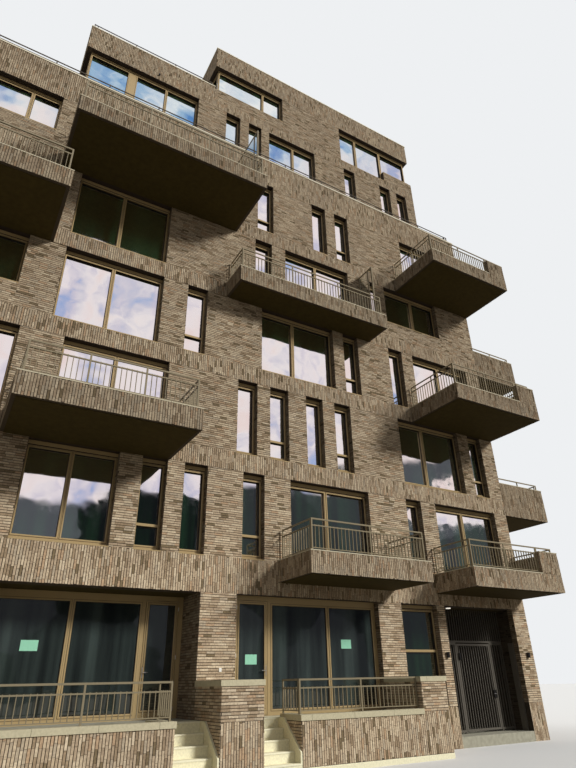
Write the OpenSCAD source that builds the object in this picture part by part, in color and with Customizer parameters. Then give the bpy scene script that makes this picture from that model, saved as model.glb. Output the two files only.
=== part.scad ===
// Brick apartment block: a raised ground floor and eight storeys, the top three set back behind a terrace.
// Millimetres, Z up. X runs along the street front, Y into the building. The origin is on the ground
// under the street face of the front wall, halfway along it.

/* [Storeys] */
// Height from one floor to the next
storey_h = 3000; // [2900:20:3200]
// Height of a window opening above its floor
window_h = 2440; // [2300:20:2500]
// Height of the first floor above the lowest ground
first_z = 4780; // [4700:20:5000]
// Height of the ground-floor flats above the lowest ground
flat_z = 1060; // [1000:20:1100]
// Height of the gate passage above the lowest ground
passage_z = 280; // [200:10:320]
// Height of the brick band over the ground floor
ground_band = 920; // [800:20:1000]

/* [Plan] */
// Length of the street front
block_w = 22210; // [22210:10:23000]
// Depth from the street face to the rear face
block_d = 12000; // [11000:100:14000]
// How far the top storeys stand back
setback = 1980; // [1700:20:2300]
// Thickness of the outer walls
wall_t = 400; // [350:10:450]
// Thickness of the floors
slab_t = 250; // [200:10:300]
// Height of the parapets above the terrace floor
parapet_h = 810; // [700:10:900]

/* [Windows] */
// Depth of the brick reveals
reveal = 200; // [150:10:240]
// Width of the outer frame bars
frame_w = 70; // [50:5:90]
// Width of the mullions between panes
mullion_w = 110; // [70:5:120]
// Height of the bottom rails
bottom_w = 140; // [80:10:160]
// Depth of the frames
frame_d = 70; // [50:5:90]
// Height of the ventilation box over a window
vent_h = 190; // [120:10:220]

/* [Balconies] */
// Height of the brick edge, its top level with the floor
edge_h = 560; // [500:10:600]
// Thickness of the brick edge
edge_t = 200; // [150:10:240]
// How far the balcony floor lies below the edge
deck_drop = 120; // [80:10:180]
// Height of the raised brick at the outer ends
wing_h = 700; // [500:10:750]
// Width of the raised brick at the outer ends
wing_w = 910; // [700:10:1000]
// Height of the handrail above the brick edge
rail_h = 870; // [800:10:1000]
// Distance between balusters
baluster_gap = 120; // [110:10:140]
// Projection of the two balconies on the side wall
side_out = 2450; // [2200:50:2600]
// Length of the two balconies on the side wall
side_len = 4200; // [4000:50:4400]

/* [Terraces] */
// How far the front terraces stand out
terrace_out = 1500; // [1400:10:1700]
// Height of the terrace pillars with their copings
pillar_h = 1860; // [1700:20:1900]
// Thickness of the pale copings
coping_t = 120; // [80:10:140]
// Number of risers from the ground to a terrace
risers = 5; // [4:1:6]
// Depth of one tread
going = 250; // [230:10:270]

/* [Gate] */
// How far the gate stands inside the passage
gate_in = 700; // [500:20:1000]
// Distance between the gate's bars
bar_gap = 105; // [90:5:120]

/* [Hidden] */

brick = "#8a7560";
frame_colour = "#a08a62";
glass_colour = "#9fb4c0";
concrete = "#c9c4a4";
roof_colour = "#55524c";
soffit_colour = "#2c281c";
deck_colour = "#3a3527";
coping_colour = "#d8d4c8";
capping_colour = "#c8c1b0";
rail_colour = "#6f675c";
screen_colour = "#b9b3a4";
gate_colour = "#2b2a2b";
lamp_colour = "#201f1e";

// Storey 1 is the first floor, storey 5 the last one flush with the street, storey 8 the top one
low_top = 5;
top = 8;
function floor_z(k) = first_z + (k - 1) * storey_h;
function head_z(k) = k == 0 ? first_z - ground_band : floor_z(k) + window_h;
// Street-front distances are measured from the left end of the wall
function at(u) = u - block_w / 2;
upper_left = 4610;
top_left = 10250;
inside_y = [wall_t, block_d - wall_t];
upper_inside_y = [setback + wall_t, block_d - wall_t];

// Each opening: left edge, width, height of its sill above the floor, where its mullions stand as shares of
// its width, and the height of its transom, or 0 for none
transom = 620;
front_openings = [
  [[1300, 2950, 0, [0.5], 0], [16600, 1460, 0, [], 1460]],
  [[1300, 2950, 0, [0.5], 0], [5360, 2240, 0, [0.49], 0], [8200, 700, 0, [], transom],
    [9380, 690, 0, [], 0], [11170, 700, 0, [], transom], [12750, 2950, 0, [0.47], 0],
    [17280, 670, 0, [], 0], [18610, 2970, 0, [0.48], 0]],
  [[3950, 650, 0, [], 0], [5710, 2980, 0, [0.5], 0], [10930, 680, 0, [], 0],
    [12060, 680, 0, [], transom], [13410, 670, 0, [], 0], [14550, 670, 0, [], transom],
    [17350, 2950, 0, [0.43], 0], [20840, 690, 0, [], transom]],
  [[1350, 2950, 730, [0.5], 0], [5290, 2980, 0, [0.49], 0], [9070, 690, 0, [], transom],
    [11750, 2930, 0, [0.45], 0], [15130, 670, 0, [], transom], [17280, 670, 0, [], 0],
    [18500, 2950, 0, [0.5], 0]],
  [[1350, 2950, 0, [0.5], 0], [5290, 2980, 0, [0.49], 0], [11470, 690, 0, [], 0],
    [12720, 2880, 0, [0.5], 0], [17420, 2830, 730, [0.56], 0]],
  [[1300, 2950, 860, [0.7], 0], [5710, 2980, 0, [0.5], 0], [11550, 680, 0, [], transom],
    [14020, 670, 0, [], 0], [15140, 670, 0, [], transom], [18660, 2950, 0, [0.5], 0]],
  [[5710, 2980, 0, [0.5], 0], [10890, 710, 0, [], 0], [12040, 670, 0, [], 0],
    [13120, 2590, 0, [0.55], 0], [17490, 690, 0, [], 0], [18610, 2950, 0, [0.5], 0]],
  [[upper_left, 4920, 0, [0.377, 0.695], 0], [10890, 710, 0, [], 0], [12040, 670, 0, [], 0],
    [13120, 2590, 0, [0.55], 0], [17490, 690, 0, [], 0], [19810, 700, 0, [], 0],
    [20960, 680, 0, [], 0]],
  [[top_left, 3650, 720, [0.7], 0], [17390, 2850, 0, [0.41], 0],
    [20240, block_w - 20240, 680, [], 0]]];

upper_y = [setback, setback + wall_t];

// The corner window of storey 7 has one post as wide as a panel
wide_post = [6390, 6790];

// The two garden fronts and the gate passage, open from floor to band: [left edge, right edge]
loggia = [5280, 10040];
middle = [11050, 15710];
passage = [18390, 21550];
passage_wall_u = 18060;
loggia_in = 1170;

// The rear and the side repeat the same openings on every storey
rear_openings = [[1350, 2950, 0, [0.5], 0], [5710, 2980, 0, [0.5], 0], [9900, 690, 0, [], transom],
  [11750, 2930, 0, [0.5], 0], [15900, 690, 0, [], 0], [18500, 2950, 0, [0.5], 0]];
side_narrow = [[6200, 690, 0, [], transom], [9000, 690, 0, [], 0]];
side_wide = concat([[800, 2950, 0, [0.5], 0]], side_narrow);
side_storeys = [2, 4];
corner_return = 1500;

// Each balcony on the front: [left edge, width, projection, storey, raised outer end]
balconies = [[4690, 4250, 2300, 2, 0], [4650, 6050, 2330, 5, 0], [900, 4010, 2380, 4, 0],
  [12300, 4100, 1730, 1, 0], [10410, 5980, 1080, 4, 0],
  [18100, block_w - 18100, 1750, 1, 1], [18050, block_w - 18050, 2360, 3, 1],
  [18050, block_w - 18050, 2340, 5, 1]];
// Balconies with a glass screen at the right end, its bars and its second upright
screened = [1, 4];
screen_h = 2400;
screen_bar = 60;
screen_d = 40;
screen_post = 240;
screen_gap = 10;

capping_t = 25;
capping_over = 15;
soffit_border = 90;
board_t = 15;
panel_t = 60;

// Rails: widths of balusters, handrails, second rails and bottom rails, distance of the second rail below the
// top, height of the bottom rail, and depth of all bars
bar = 14;
rail_bar = 40;
thin_bar = 30;
foot_bar = 20;
second_rail = 170;
bottom_rail = 60;
rail_d = 30;
post_gap = 2000;
short_post_gap = 1200;
short_rail_h = 240;
// A rail ends this far from a wall
rail_in = 60;
// Parapet rails: heights of the two rails and of the posts
low_rails = [310, 460];
low_posts = 500;

coping_h = 50;
coping_over = 30;
joint = 3;
glass_t = 20;
sides = 32;

// Stair and terrace stations along the front
stair_1 = [9030, 10040];
stair_2 = [11070, 12040];
right_pillar = [15710, 16570];
terrace_t = 300;
// Height of the low copings above the terrace floor
terrace_rise = 70;
landing = terrace_out - (risers - 1) * going;
riser = flat_z / risers;
stringer_t = 50;

// Garden doors
leaf_d = 60;
stile = 85;
gap = 12;
threshold = 27;
garden_head = 210;
glass_in = 25;
leaf_glass_in = 20;
// Door handles: height above the floor; width, thickness and height of the plate; radius and length of
// the spindle
handle_z = 1010;
handle_plate = [40, 8, 240];
spindle = [10, 50];

// Hinges: barrels stand off a leaf's face, on an axis just outside the leaf's edge
barrel_r = 8;
barrel_h = 90;
barrel_out = 14;
barrel_in = 4;
plate_w = 45;

// Gate
gate_rail_z = passage_z + 2560;
gate_rail_t = 60;
gate_bar = 22;
gate_leaf_u = [19380, 20910];
gate_post = 60;
gate_d = 40;
// Gaps under the fixed panels and the leaf, and over the leaf
panel_foot = 40;
leaf_foot = 50;
leaf_head = 30;
// Steel casing at the right of the passage: width, front, back and height
casing = [70, 180, 380, 2540];

// Round wall lamps beside the gate, and a rain spout high on the front
lamp_u = [18235, 21910];
lamp_z = 2080;
lamp_h = 160;
lamp_r = 48;
lamp_off = 12;
// Lamp bracket: half its width, its depth, and its lower and upper edge above the lamp's foot
bracket = [15, 25, 50, 110];
spout_u = 7620;
// Spout: distance below the floor above, length and radius
spout = [270, 90, 35];

module block(x, y, z) {
  translate([x[0], y[0], z[0]]) cube([x[1] - x[0], y[1] - y[0], z[1] - z[0]]);
}

// A flat panel standing on the plane y, drawn as a front view and given a thickness
module standing(x, y, z, thick) {
  translate([x, y + thick, z]) rotate([90, 0, 0]) linear_extrude(thick) children();
}

// The same, seen from the side: the drawing's x runs along Y
module standing_side(x, y, z, thick) {
  translate([x, y, z]) rotate([90, 0, 90]) linear_extrude(thick) children();
}

// Solid stretches of wall left between openings, from a to b
function edges(row, a, b) = concat([a], [for (o = row) each [o[0], o[0] + o[1]]], [b]);

module piers(row, a, b, y, z) {
  e = edges(row, a, b);
  for (i = [0:2:len(e) - 1])
    if (e[i + 1] - e[i] > 1) block([at(e[i]), at(e[i + 1])], y, z);
}

module aprons(row, y, z) {
  for (o = row)
    if (o[2] > 0) block([at(o[0]), at(o[0] + o[1])], y, [z, z + o[2]]);
}

module frame_outline(w, h, divisions, bar_z) {
  cuts = concat([frame_w - mullion_w / 2], [for (d = divisions) d * w], [w - frame_w + mullion_w / 2]);
  difference() {
    square([w, h]);
    for (i = [0:len(cuts) - 2])
      translate([cuts[i] + mullion_w / 2, bottom_w])
        square([cuts[i + 1] - cuts[i] - mullion_w, h - bottom_w - vent_h]);
  }
  if (bar_z > 0) translate([0, bar_z]) square([w, frame_w]);
}

module window_frame(o, y, z, top_z) {
  standing(at(o[0]), y, z + o[2], frame_d) frame_outline(o[1], top_z - z - o[2], o[3], o[4]);
}

module window_glass(o, y, z, top_z) {
  block([at(o[0]), at(o[0] + o[1])], [y, y + glass_t], [z + o[2], top_z]);
}

// Side openings are measured from the street face; the drawing is made on the wall's outer plane
module side_frame(o, x, z, top_z) {
  standing_side(x, o[0], z + o[2], frame_d) frame_outline(o[1], top_z - z - o[2], o[3], o[4]);
}

module side_pane(o, x, z, top_z) {
  block([x - glass_t, x], [o[0], o[0] + o[1]], [z + o[2], top_z]);
}

function side_row(k) = len([for (s = side_storeys) if (s == k) s]) > 0 ? side_wide : side_narrow;

function left_end(k) = k == top ? top_left : k > low_top ? upper_left : 0;

function rear_row(k) = [for (o = rear_openings) if (o[0] > left_end(k)) o];

function is_corner(o) = o[0] == upper_left || o[0] == top_left;

// A corner window starts one reveal in from the corner, or ends one reveal short of it
function set_in(o) =
  is_corner(o) ? [o[0] + reveal, o[1] - reveal, o[2], o[3], o[4]] :
  o[0] + o[1] >= block_w ? [o[0], o[1] - reveal, o[2], o[3], o[4]] : o;

// Railing seen from the front: handrail, second rail, bottom rail, posts and balusters
module railing(length, height) {
  posts = max(1, ceil(length / post_gap));
  bars = floor(length / baluster_gap);
  translate([0, height - rail_bar]) square([length, rail_bar]);
  translate([0, height - second_rail - rail_bar]) square([length, thin_bar]);
  translate([0, bottom_rail]) square([length, foot_bar]);
  for (i = [0:posts]) translate([i * (length - rail_bar) / posts, 0]) square([rail_bar, height]);
  for (i = [1:bars - 1])
    translate([i * length / bars - bar / 2, bottom_rail]) square([bar, height - second_rail - bottom_rail]);
}

// Low railing on a parapet: two rails on posts
module parapet_railing(length) {
  posts = max(1, ceil(length / post_gap));
  for (z = low_rails) translate([0, z]) square([length, thin_bar]);
  for (i = [0:posts]) translate([i * (length - rail_bar) / posts, 0]) square([rail_bar, low_posts]);
}

// Bars of the gate between two heights
module gate_bars(length, low, high) {
  bars = floor(length / bar_gap);
  for (i = [0:bars]) translate([i * (length - gate_bar) / bars, low]) square([gate_bar, high - low]);
}

module ground_floor() {
  color(concrete) {
    block([at(wall_t), at(passage_wall_u)], inside_y, [0, flat_z]);
    block([at(passage[0]), at(passage[1])], [0, block_d], [0, passage_z]);
    block([at(loggia[0]), at(loggia[1])], [0, wall_t - joint], [0, flat_z]);
    block([at(middle[0]), at(middle[1])], [0, wall_t - joint], [0, flat_z]);
  }
}

module floor_slabs() {
  color(concrete) {
    for (k = [1:low_top + 1])
      block([at(wall_t), at(block_w - wall_t)], inside_y, [floor_z(k) - slab_t, floor_z(k)]);
    for (k = [low_top + 2:top])
      block([at(upper_left + wall_t), at(block_w - wall_t)], upper_inside_y,
        [floor_z(k) - slab_t, floor_z(k)]);
  }
}

module roof_slabs() {
  color(roof_colour)
    block([at(top_left + wall_t), at(block_w - wall_t)], upper_inside_y,
      [floor_z(top + 1) - slab_t, floor_z(top + 1)]);
}

module party_wall() {
  color(brick)
    block([at(0), at(wall_t)], inside_y, [0, floor_z(low_top + 1) + parapet_h]);
}

// Ground openings, with the garden fronts and the passage added to the windows
ground_row = [front_openings[0][0], [loggia[0], loggia[1] - loggia[0]], [middle[0], middle[1] - middle[0]],
  front_openings[0][1], [passage[0], passage[1] - passage[0]]];
ground_edges = edges(ground_row, 0, block_w);

module front_piers() {
  color(brick) {
    piers(ground_row, 0, block_w, [0, wall_t], [0, head_z(0)]);
    for (k = [1:low_top]) piers(front_openings[k], 0, block_w, [0, wall_t], [floor_z(k), head_z(k)]);
  }
}

module front_bands() {
  color(brick)
    for (k = [1:low_top]) block([at(0), at(block_w)], [0, wall_t], [head_z(k - 1), floor_z(k)]);
}

module window_aprons() {
  color(brick) {
    for (o = front_openings[0]) block([at(o[0]), at(o[0] + o[1])], [0, wall_t], [0, flat_z]);
    for (k = [1:low_top]) aprons(front_openings[k], [0, wall_t], floor_z(k));
    aprons(front_openings[top], upper_y, floor_z(top));
    block([at(top_left), at(top_left + wall_t)], corner_side_y, corner_apron_z(0));
    block([at(block_w - wall_t), at(block_w)], corner_side_y, corner_apron_z(2));
  }
}

// The low brick walls that carry on round the top storey's corner windows
corner_side_y = [setback + wall_t + joint, setback + corner_return - joint];
function corner_apron_z(i) = [floor_z(top), floor_z(top) + front_openings[top][i][2]];

module side_piers() {
  color(brick) {
    block([at(passage[1]), at(block_w)], inside_y, [0, head_z(0)]);
    for (k = [1:low_top]) side_pier_row(side_row(k), wall_t, k);
    for (k = [low_top + 1, low_top + 2]) side_pier_row(side_narrow, upper_y[1], k);
    side_pier_row(side_narrow, setback + corner_return, top);
  }
}

module side_pier_row(row, y0, k) {
  e = edges(row, y0, block_d - wall_t);
  for (i = [0:2:len(e) - 1])
    block([at(block_w - wall_t), at(block_w)], [e[i], e[i + 1]], [floor_z(k), head_z(k)]);
}

module side_bands() {
  color(brick) {
    for (k = [1:low_top + 1])
      block([at(block_w - wall_t), at(block_w)], inside_y, [head_z(k - 1), floor_z(k)]);
    for (k = [low_top + 2:top])
      block([at(block_w - wall_t), at(block_w)], upper_inside_y, [head_z(k - 1), floor_z(k)]);
  }
}

rear_y = [block_d - wall_t, block_d];
rear_ground = concat([for (o = rear_openings) if (o[0] + o[1] < passage_wall_u) o],
  [[passage[0], passage[1] - passage[0], 0, [], 0]]);

module rear_piers() {
  color(brick) {
    piers(rear_ground, 0, block_w, rear_y, [flat_z, head_z(0)]);
    for (k = [1:top]) piers(rear_row(k), left_end(k), block_w, rear_y, [floor_z(k), head_z(k)]);
  }
}

module rear_bands() {
  color(brick) {
    block([at(0), at(passage[0])], rear_y, [0, flat_z]);
    block([at(passage[1]), at(block_w)], rear_y, [0, flat_z]);
    for (k = [1:low_top + 1]) block([at(0), at(block_w)], rear_y, [head_z(k - 1), floor_z(k)]);
    for (k = [low_top + 2:top]) block([at(upper_left), at(block_w)], rear_y, [head_z(k - 1), floor_z(k)]);
  }
}

// Walls between the flats and the passage, and at the sides of the loggia
module inner_walls() {
  color(brick) {
    block([at(passage_wall_u), at(passage[0])], inside_y, [0, first_z - slab_t]);
    for (u = [loggia[0] - wall_t, loggia[1]])
      block([at(u), at(u + wall_t)], [wall_t, loggia_in + frame_d], [flat_z, first_z - slab_t]);
  }
}

// Dark panels over the loggia and the passage, and boards under the balconies inside a border of brick
module soffit_panels() {
  color(soffit_colour) {
    block([at(loggia[0]), at(loggia[1])], [wall_t, loggia_in + frame_d], [head_z(0), head_z(0) + panel_t]);
    block([at(passage[0]), at(passage[1])], inside_y, [head_z(0), head_z(0) + panel_t]);
    for (b = balconies)
      block([at(b[0]) + soffit_border, at(b[0] + b[1]) - soffit_border], [soffit_border - b[2], 0],
        board_z(b[3]));
    for (k = side_storeys)
      block([at(block_w), at(block_w) + side_out - soffit_border], [soffit_border, side_len - soffit_border],
        board_z(k));
  }
}

function board_z(k) = [floor_z(k) - edge_h - board_t, floor_z(k) - edge_h];

module upper_piers() {
  color(brick) {
    for (k = [low_top + 1:top - 1])
      piers(front_openings[k], upper_left, block_w, upper_y, [floor_z(k), head_z(k)]);
    piers(front_openings[top], top_left, block_w, upper_y, [floor_z(top), head_z(top)]);
    block([at(upper_left), at(upper_left + wall_t)], [upper_y[1] + joint, block_d - wall_t],
      [floor_z(low_top + 1), head_z(low_top + 1)]);
    block([at(upper_left), at(upper_left + wall_t)], [setback + corner_return, block_d - wall_t],
      [floor_z(low_top + 2), head_z(low_top + 2)]);
    block([at(top_left), at(top_left + wall_t)], [setback + corner_return, block_d - wall_t],
      [floor_z(top), head_z(top)]);
  }
}

module upper_bands() {
  color(brick) {
    for (k = [low_top + 2:top]) {
      block([at(upper_left), at(block_w)], upper_y, [head_z(k - 1), floor_z(k)]);
      block([at(upper_left), at(upper_left + wall_t)], [setback + wall_t + joint, block_d - wall_t],
        [head_z(k - 1), floor_z(k)]);
    }
  }
}

low_parapet = [head_z(low_top), floor_z(low_top + 1) + parapet_h];
terrace_parapet = [floor_z(top), floor_z(top) + parapet_h];
top_parapet = [head_z(top), floor_z(top + 1) + parapet_h];

module parapets() {
  color(brick) {
    block([at(0), at(block_w)], [0, wall_t], low_parapet);
    block([at(block_w - wall_t), at(block_w)], [wall_t + joint, setback - joint],
      [floor_z(low_top + 1), low_parapet[1]]);
    block([at(0), at(upper_left)], rear_y, [floor_z(low_top + 1), low_parapet[1]]);
    block([at(upper_left), at(top_left)], upper_y, terrace_parapet);
    block([at(upper_left), at(upper_left + wall_t)], [setback + wall_t + joint, block_d], terrace_parapet);
    block([at(upper_left + wall_t + joint), at(top_left)], rear_y, terrace_parapet);
    block([at(top_left), at(block_w)], upper_y, top_parapet);
    for (x = [at(top_left), at(block_w - wall_t)])
      block([x, x + wall_t], [setback + wall_t + joint, block_d - wall_t - joint], top_parapet);
    block([at(top_left), at(block_w)], rear_y, top_parapet);
  }
}

// A coping over a wall of the given plan, standing out a little on both sides
module coping(x, y, z) {
  block([x[0] - coping_over, x[1] + coping_over], [y[0] - coping_over, y[1] + coping_over],
    [z, z + coping_h]);
}

module parapet_copings() {
  inner = coping_over + joint;
  left = at(0) + coping_over;
  color(coping_colour) {
    coping([left, at(block_w)], [0, wall_t], low_parapet[1]);
    coping([left, at(wall_t)], [wall_t + 2 * inner, block_d - wall_t - 2 * inner], low_parapet[1]);
    coping([left, at(upper_left) - inner], rear_y, low_parapet[1]);
    coping([at(block_w - wall_t), at(block_w)], [wall_t + 2 * inner, setback - inner], low_parapet[1]);
    coping([at(upper_left), at(top_left) - inner], upper_y, terrace_parapet[1]);
    coping([at(upper_left), at(upper_left + wall_t)], [upper_y[1] + 2 * inner, rear_y[0] - 2 * inner],
      terrace_parapet[1]);
    coping([at(upper_left), at(top_left) - inner], rear_y, terrace_parapet[1]);
    coping([at(top_left), at(block_w)], upper_y, top_parapet[1]);
    coping([at(top_left), at(block_w)], rear_y, top_parapet[1]);
    for (x = [at(top_left), at(block_w - wall_t)])
      coping([x, x + wall_t], [upper_y[1] + 2 * inner, rear_y[0] - 2 * inner], top_parapet[1]);
  }
}

module parapet_rails() {
  y = wall_t / 2;
  low_z = low_parapet[1] + coping_h;
  terrace_z = terrace_parapet[1] + coping_h;
  color(rail_colour) {
    standing(at(rail_in), y, low_z, rail_d) parapet_railing(block_w - 2 * rail_in);
    standing_side(at(block_w) - y, y + rail_d + joint, low_z, rail_d)
      parapet_railing(setback - y - rail_d - 2 * rail_in);
    standing(at(upper_left + rail_in), setback + y, terrace_z, rail_d)
      parapet_railing(top_left - upper_left - 2 * rail_in);
    standing_side(at(upper_left) + y, setback + y + rail_d + joint, terrace_z, rail_d)
      parapet_railing(block_d - setback - wall_t - 2 * rail_in - rail_d);
  }
}

module balcony_decks() {
  color(deck_colour) {
    for (b = balconies)
      block([at(b[0]) + edge_t, at(b[0] + b[1]) - edge_t], [edge_t - b[2], 0],
        deck_z(b[3]));
    for (k = side_storeys)
      block([at(block_w), at(block_w) + side_out - edge_t], [edge_t, side_len - edge_t], deck_z(k));
  }
}

function deck_z(k) = [floor_z(k) - edge_h, floor_z(k) - deck_drop];

module balcony_fronts() {
  color(brick) {
    for (b = balconies)
      block([at(b[0]), at(b[0] + b[1])], [-b[2], edge_t - b[2]], [floor_z(b[3]) - edge_h, floor_z(b[3])]);
    for (k = side_storeys)
      block([at(block_w) + side_out - edge_t, at(block_w) + side_out], [0, side_len],
        [floor_z(k) - edge_h, floor_z(k) + wing_h]);
  }
}

module balcony_sides() {
  color(brick) {
    for (b = balconies) {
      z = [floor_z(b[3]) - edge_h, floor_z(b[3])];
      block([at(b[0]), at(b[0]) + edge_t], [edge_t - b[2], 0], z);
      block([at(b[0] + b[1]) - edge_t, at(b[0] + b[1])], [edge_t - b[2], 0], [z[0], z[1] + b[4] * wing_h]);
    }
    for (k = side_storeys)
      for (y = [0, side_len - edge_t])
        block([at(block_w), at(block_w) + side_out - edge_t], [y, y + edge_t],
          [floor_z(k) - edge_h, floor_z(k) + wing_h]);
  }
}

module balcony_wings() {
  color(brick)
    for (b = balconies)
      if (b[4] == 1)
        block([at(b[0] + b[1]) - wing_w, at(b[0] + b[1])], [-b[2], edge_t - b[2]],
          [floor_z(b[3]), floor_z(b[3]) + wing_h]);
}

// Thin pale cappings on the brick edges, standing out a little on the outside
module balcony_cappings() {
  over = capping_over;
  color(capping_colour) {
    for (b = balconies) {
      left = at(b[0]);
      right = at(b[0] + b[1]);
      front = [-b[2] - over, edge_t - b[2]];
      side = [edge_t + joint - b[2], 0];
      z = [floor_z(b[3]), floor_z(b[3]) + capping_t];
      right_z = [z[0] + b[4] * wing_h, z[1] + b[4] * wing_h];
      block([left - over, b[4] == 1 ? right - wing_w - joint : right + over], front, z);
      block([left - over, left + edge_t], side, z);
      block([right - edge_t, right + over], side, right_z);
      if (b[4] == 1) block([right - wing_w, right + over], front, right_z);
    }
    for (k = side_storeys) {
      z = [floor_z(k) + wing_h, floor_z(k) + wing_h + capping_t];
      x = [at(block_w), at(block_w) + side_out - edge_t];
      block([x[1], x[1] + edge_t + over], [-over, side_len + over], z);
      block([x[0], x[1] - joint], [-over, edge_t], z);
      block([x[0], x[1] - joint], [side_len - edge_t, side_len + over], z);
    }
  }
}

// Rails along the fronts; where the end is raised, they stop at it and one rail runs on above
module balcony_rails() {
  color(rail_colour) {
    for (b = balconies) {
      z = floor_z(b[3]) + capping_t;
      y = edge_t / 2 - b[2];
      length = b[1] - edge_t - b[4] * (wing_w - edge_t / 2);
      standing(at(b[0]) + edge_t / 2, y, z, rail_d) railing(length, rail_h - capping_t);
      if (b[4] == 1)
        standing(at(b[0]) + edge_t / 2 + length + joint, y, z + wing_h, rail_d)
          short_rail(wing_w - edge_t / 2 - joint - rail_d, rail_h - capping_t - wing_h);
    }
    for (k = side_storeys)
      standing_side(at(block_w) + side_out - edge_t / 2, edge_t, floor_z(k) + wing_h + capping_t, rail_d)
        short_rail(side_len - 2 * edge_t, short_rail_h);
  }
}

// One rail on short posts over raised brick
module short_rail(length, height) {
  posts = max(1, ceil(length / short_post_gap));
  translate([0, height - rail_bar]) square([length, rail_bar]);
  for (i = [0:posts]) translate([i * (length - rail_bar) / posts, 0]) square([rail_bar, height]);
}

module balcony_side_rails() {
  color(rail_colour) {
    for (b = balconies) {
      z = floor_z(b[3]) + capping_t;
      y = edge_t / 2 - b[2] + rail_d + joint;
      length = -y - rail_in;
      standing_side(at(b[0]) + edge_t / 2, y, z, rail_d) railing(length, rail_h - capping_t);
      right = at(b[0] + b[1]) - edge_t / 2 - rail_d;
      if (b[4] == 1)
        standing_side(right, y, z + wing_h, rail_d) short_rail(length, rail_h - capping_t - wing_h);
      else
        standing_side(right, y, z, rail_d) railing(length, rail_h - capping_t);
    }
    for (k = side_storeys)
      for (y = [edge_t / 2, side_len - edge_t / 2 - rail_d])
        standing(at(block_w) + rail_in, y, floor_z(k) + wing_h + capping_t, rail_d)
          short_rail(side_out - edge_t / 2 - rail_in - joint, short_rail_h);
  }
}

// Frames of the glazed screens between neighbouring flats, standing inside the rail
module privacy_screens() {
  color(screen_colour)
    for (i = screened)
      standing_side(screen_x(i), screen_y(i), screen_z(i)[0], screen_d) difference() {
        square([-screen_y(i) - joint, screen_z(i)[1] - screen_z(i)[0]]);
        for (p = screen_panes(i))
          translate([p[0], screen_bar])
            square([p[1] - p[0], screen_z(i)[1] - screen_z(i)[0] - 2 * screen_bar]);
      }
}

module screen_glass() {
  for (i = screened)
    for (p = screen_panes(i))
      block(screen_pane_x(i), [screen_y(i) + p[0], screen_y(i) + p[1]],
        [screen_z(i)[0] + screen_bar, screen_z(i)[1] - screen_bar]);
}

function screen_x(i) = at(balconies[i][0] + balconies[i][1]) - edge_t - screen_d - screen_gap;
function screen_pane_x(i) = [for (s = [-1, 1]) screen_x(i) + (screen_d + s * glass_t) / 2];
function screen_y(i) = edge_t + screen_d - balconies[i][2];
function screen_z(i) = [floor_z(balconies[i][3]) - deck_drop, floor_z(balconies[i][3]) + screen_h];
function screen_panes(i) = [[screen_bar, screen_post],
  [screen_post + screen_bar, -screen_y(i) - joint - screen_bar]];

module front_frames() {
  color(frame_colour) {
    for (k = [0:low_top])
      for (o = front_openings[k]) window_frame(o, reveal, k == 0 ? flat_z : floor_z(k), head_z(k));
    for (k = [low_top + 1:top])
      for (o = front_openings[k]) window_frame(set_in(o), setback + reveal, floor_z(k), head_z(k));
    block([at(wide_post[0]), at(wide_post[1])], [setback + reveal, setback + reveal + frame_d],
      [floor_z(top - 1), head_z(top - 1)]);
  }
}

module front_glass() {
  color(glass_colour, 0.6) {
    for (k = [0:low_top])
      for (o = front_openings[k])
        window_glass(o, reveal + frame_d, k == 0 ? flat_z : floor_z(k), head_z(k));
    for (k = [low_top + 1:top])
      for (o = front_openings[k])
        window_glass(set_in(o), setback + reveal + frame_d, floor_z(k), head_z(k));
    screen_glass();
  }
}

corner_y = setback + reveal + frame_d + glass_t + joint;
function corner_pane(sill) = [corner_y, setback + corner_return - corner_y, sill, [], 0];
side_x = at(block_w) - reveal - frame_d;

module side_and_rear_frames() {
  y = block_d - reveal - frame_d;
  color(frame_colour) {
    for (o = rear_ground) if (o[0] != passage[0]) window_frame(o, y, flat_z, head_z(0));
    for (k = [1:top])
      for (o = rear_row(k)) window_frame(o, y, floor_z(k), head_z(k));
    for (k = [1:top])
      for (o = side_row(k)) side_frame(o, side_x, floor_z(k), head_z(k));
    side_frame(corner_pane(0), at(upper_left) + reveal, floor_z(top - 1), head_z(top - 1));
    side_frame(corner_pane(front_openings[top][0][2]), at(top_left) + reveal, floor_z(top), head_z(top));
    side_frame(corner_pane(front_openings[top][2][2]), side_x, floor_z(top), head_z(top));
  }
}

module side_and_rear_glass() {
  y = block_d - reveal - frame_d - glass_t;
  color(glass_colour, 0.6) {
    for (o = rear_ground) if (o[0] != passage[0]) window_glass(o, y, flat_z, head_z(0));
    for (k = [1:top])
      for (o = rear_row(k)) window_glass(o, y, floor_z(k), head_z(k));
    for (k = [1:top])
      for (o = side_row(k)) side_pane(o, side_x, floor_z(k), head_z(k));
    left = reveal + frame_d + glass_t;
    side_pane(corner_pane(0), at(upper_left) + left, floor_z(top - 1), head_z(top - 1));
    side_pane(corner_pane(front_openings[top][0][2]), at(top_left) + left, floor_z(top), head_z(top));
    side_pane(corner_pane(front_openings[top][2][2]), side_x, floor_z(top), head_z(top));
  }
}

// Glazed garden fronts: upright posts, with rails between them
loggia_posts = [[5280, 5350], [7130, 7260], [8880, 9025], [9915, 10040]];
middle_posts = [[11050, 11140], [12070, 12210], [13950, 14060], [15570, 15710]];
garden_fronts = [[loggia_posts, loggia_in, 2], [middle_posts, reveal, 0]];

module garden_posts() {
  color(frame_colour)
    for (g = garden_fronts)
      for (p = g[0]) block([at(p[0]), at(p[1])], [g[1], g[1] + frame_d], [flat_z, head_z(0)]);
}

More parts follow.
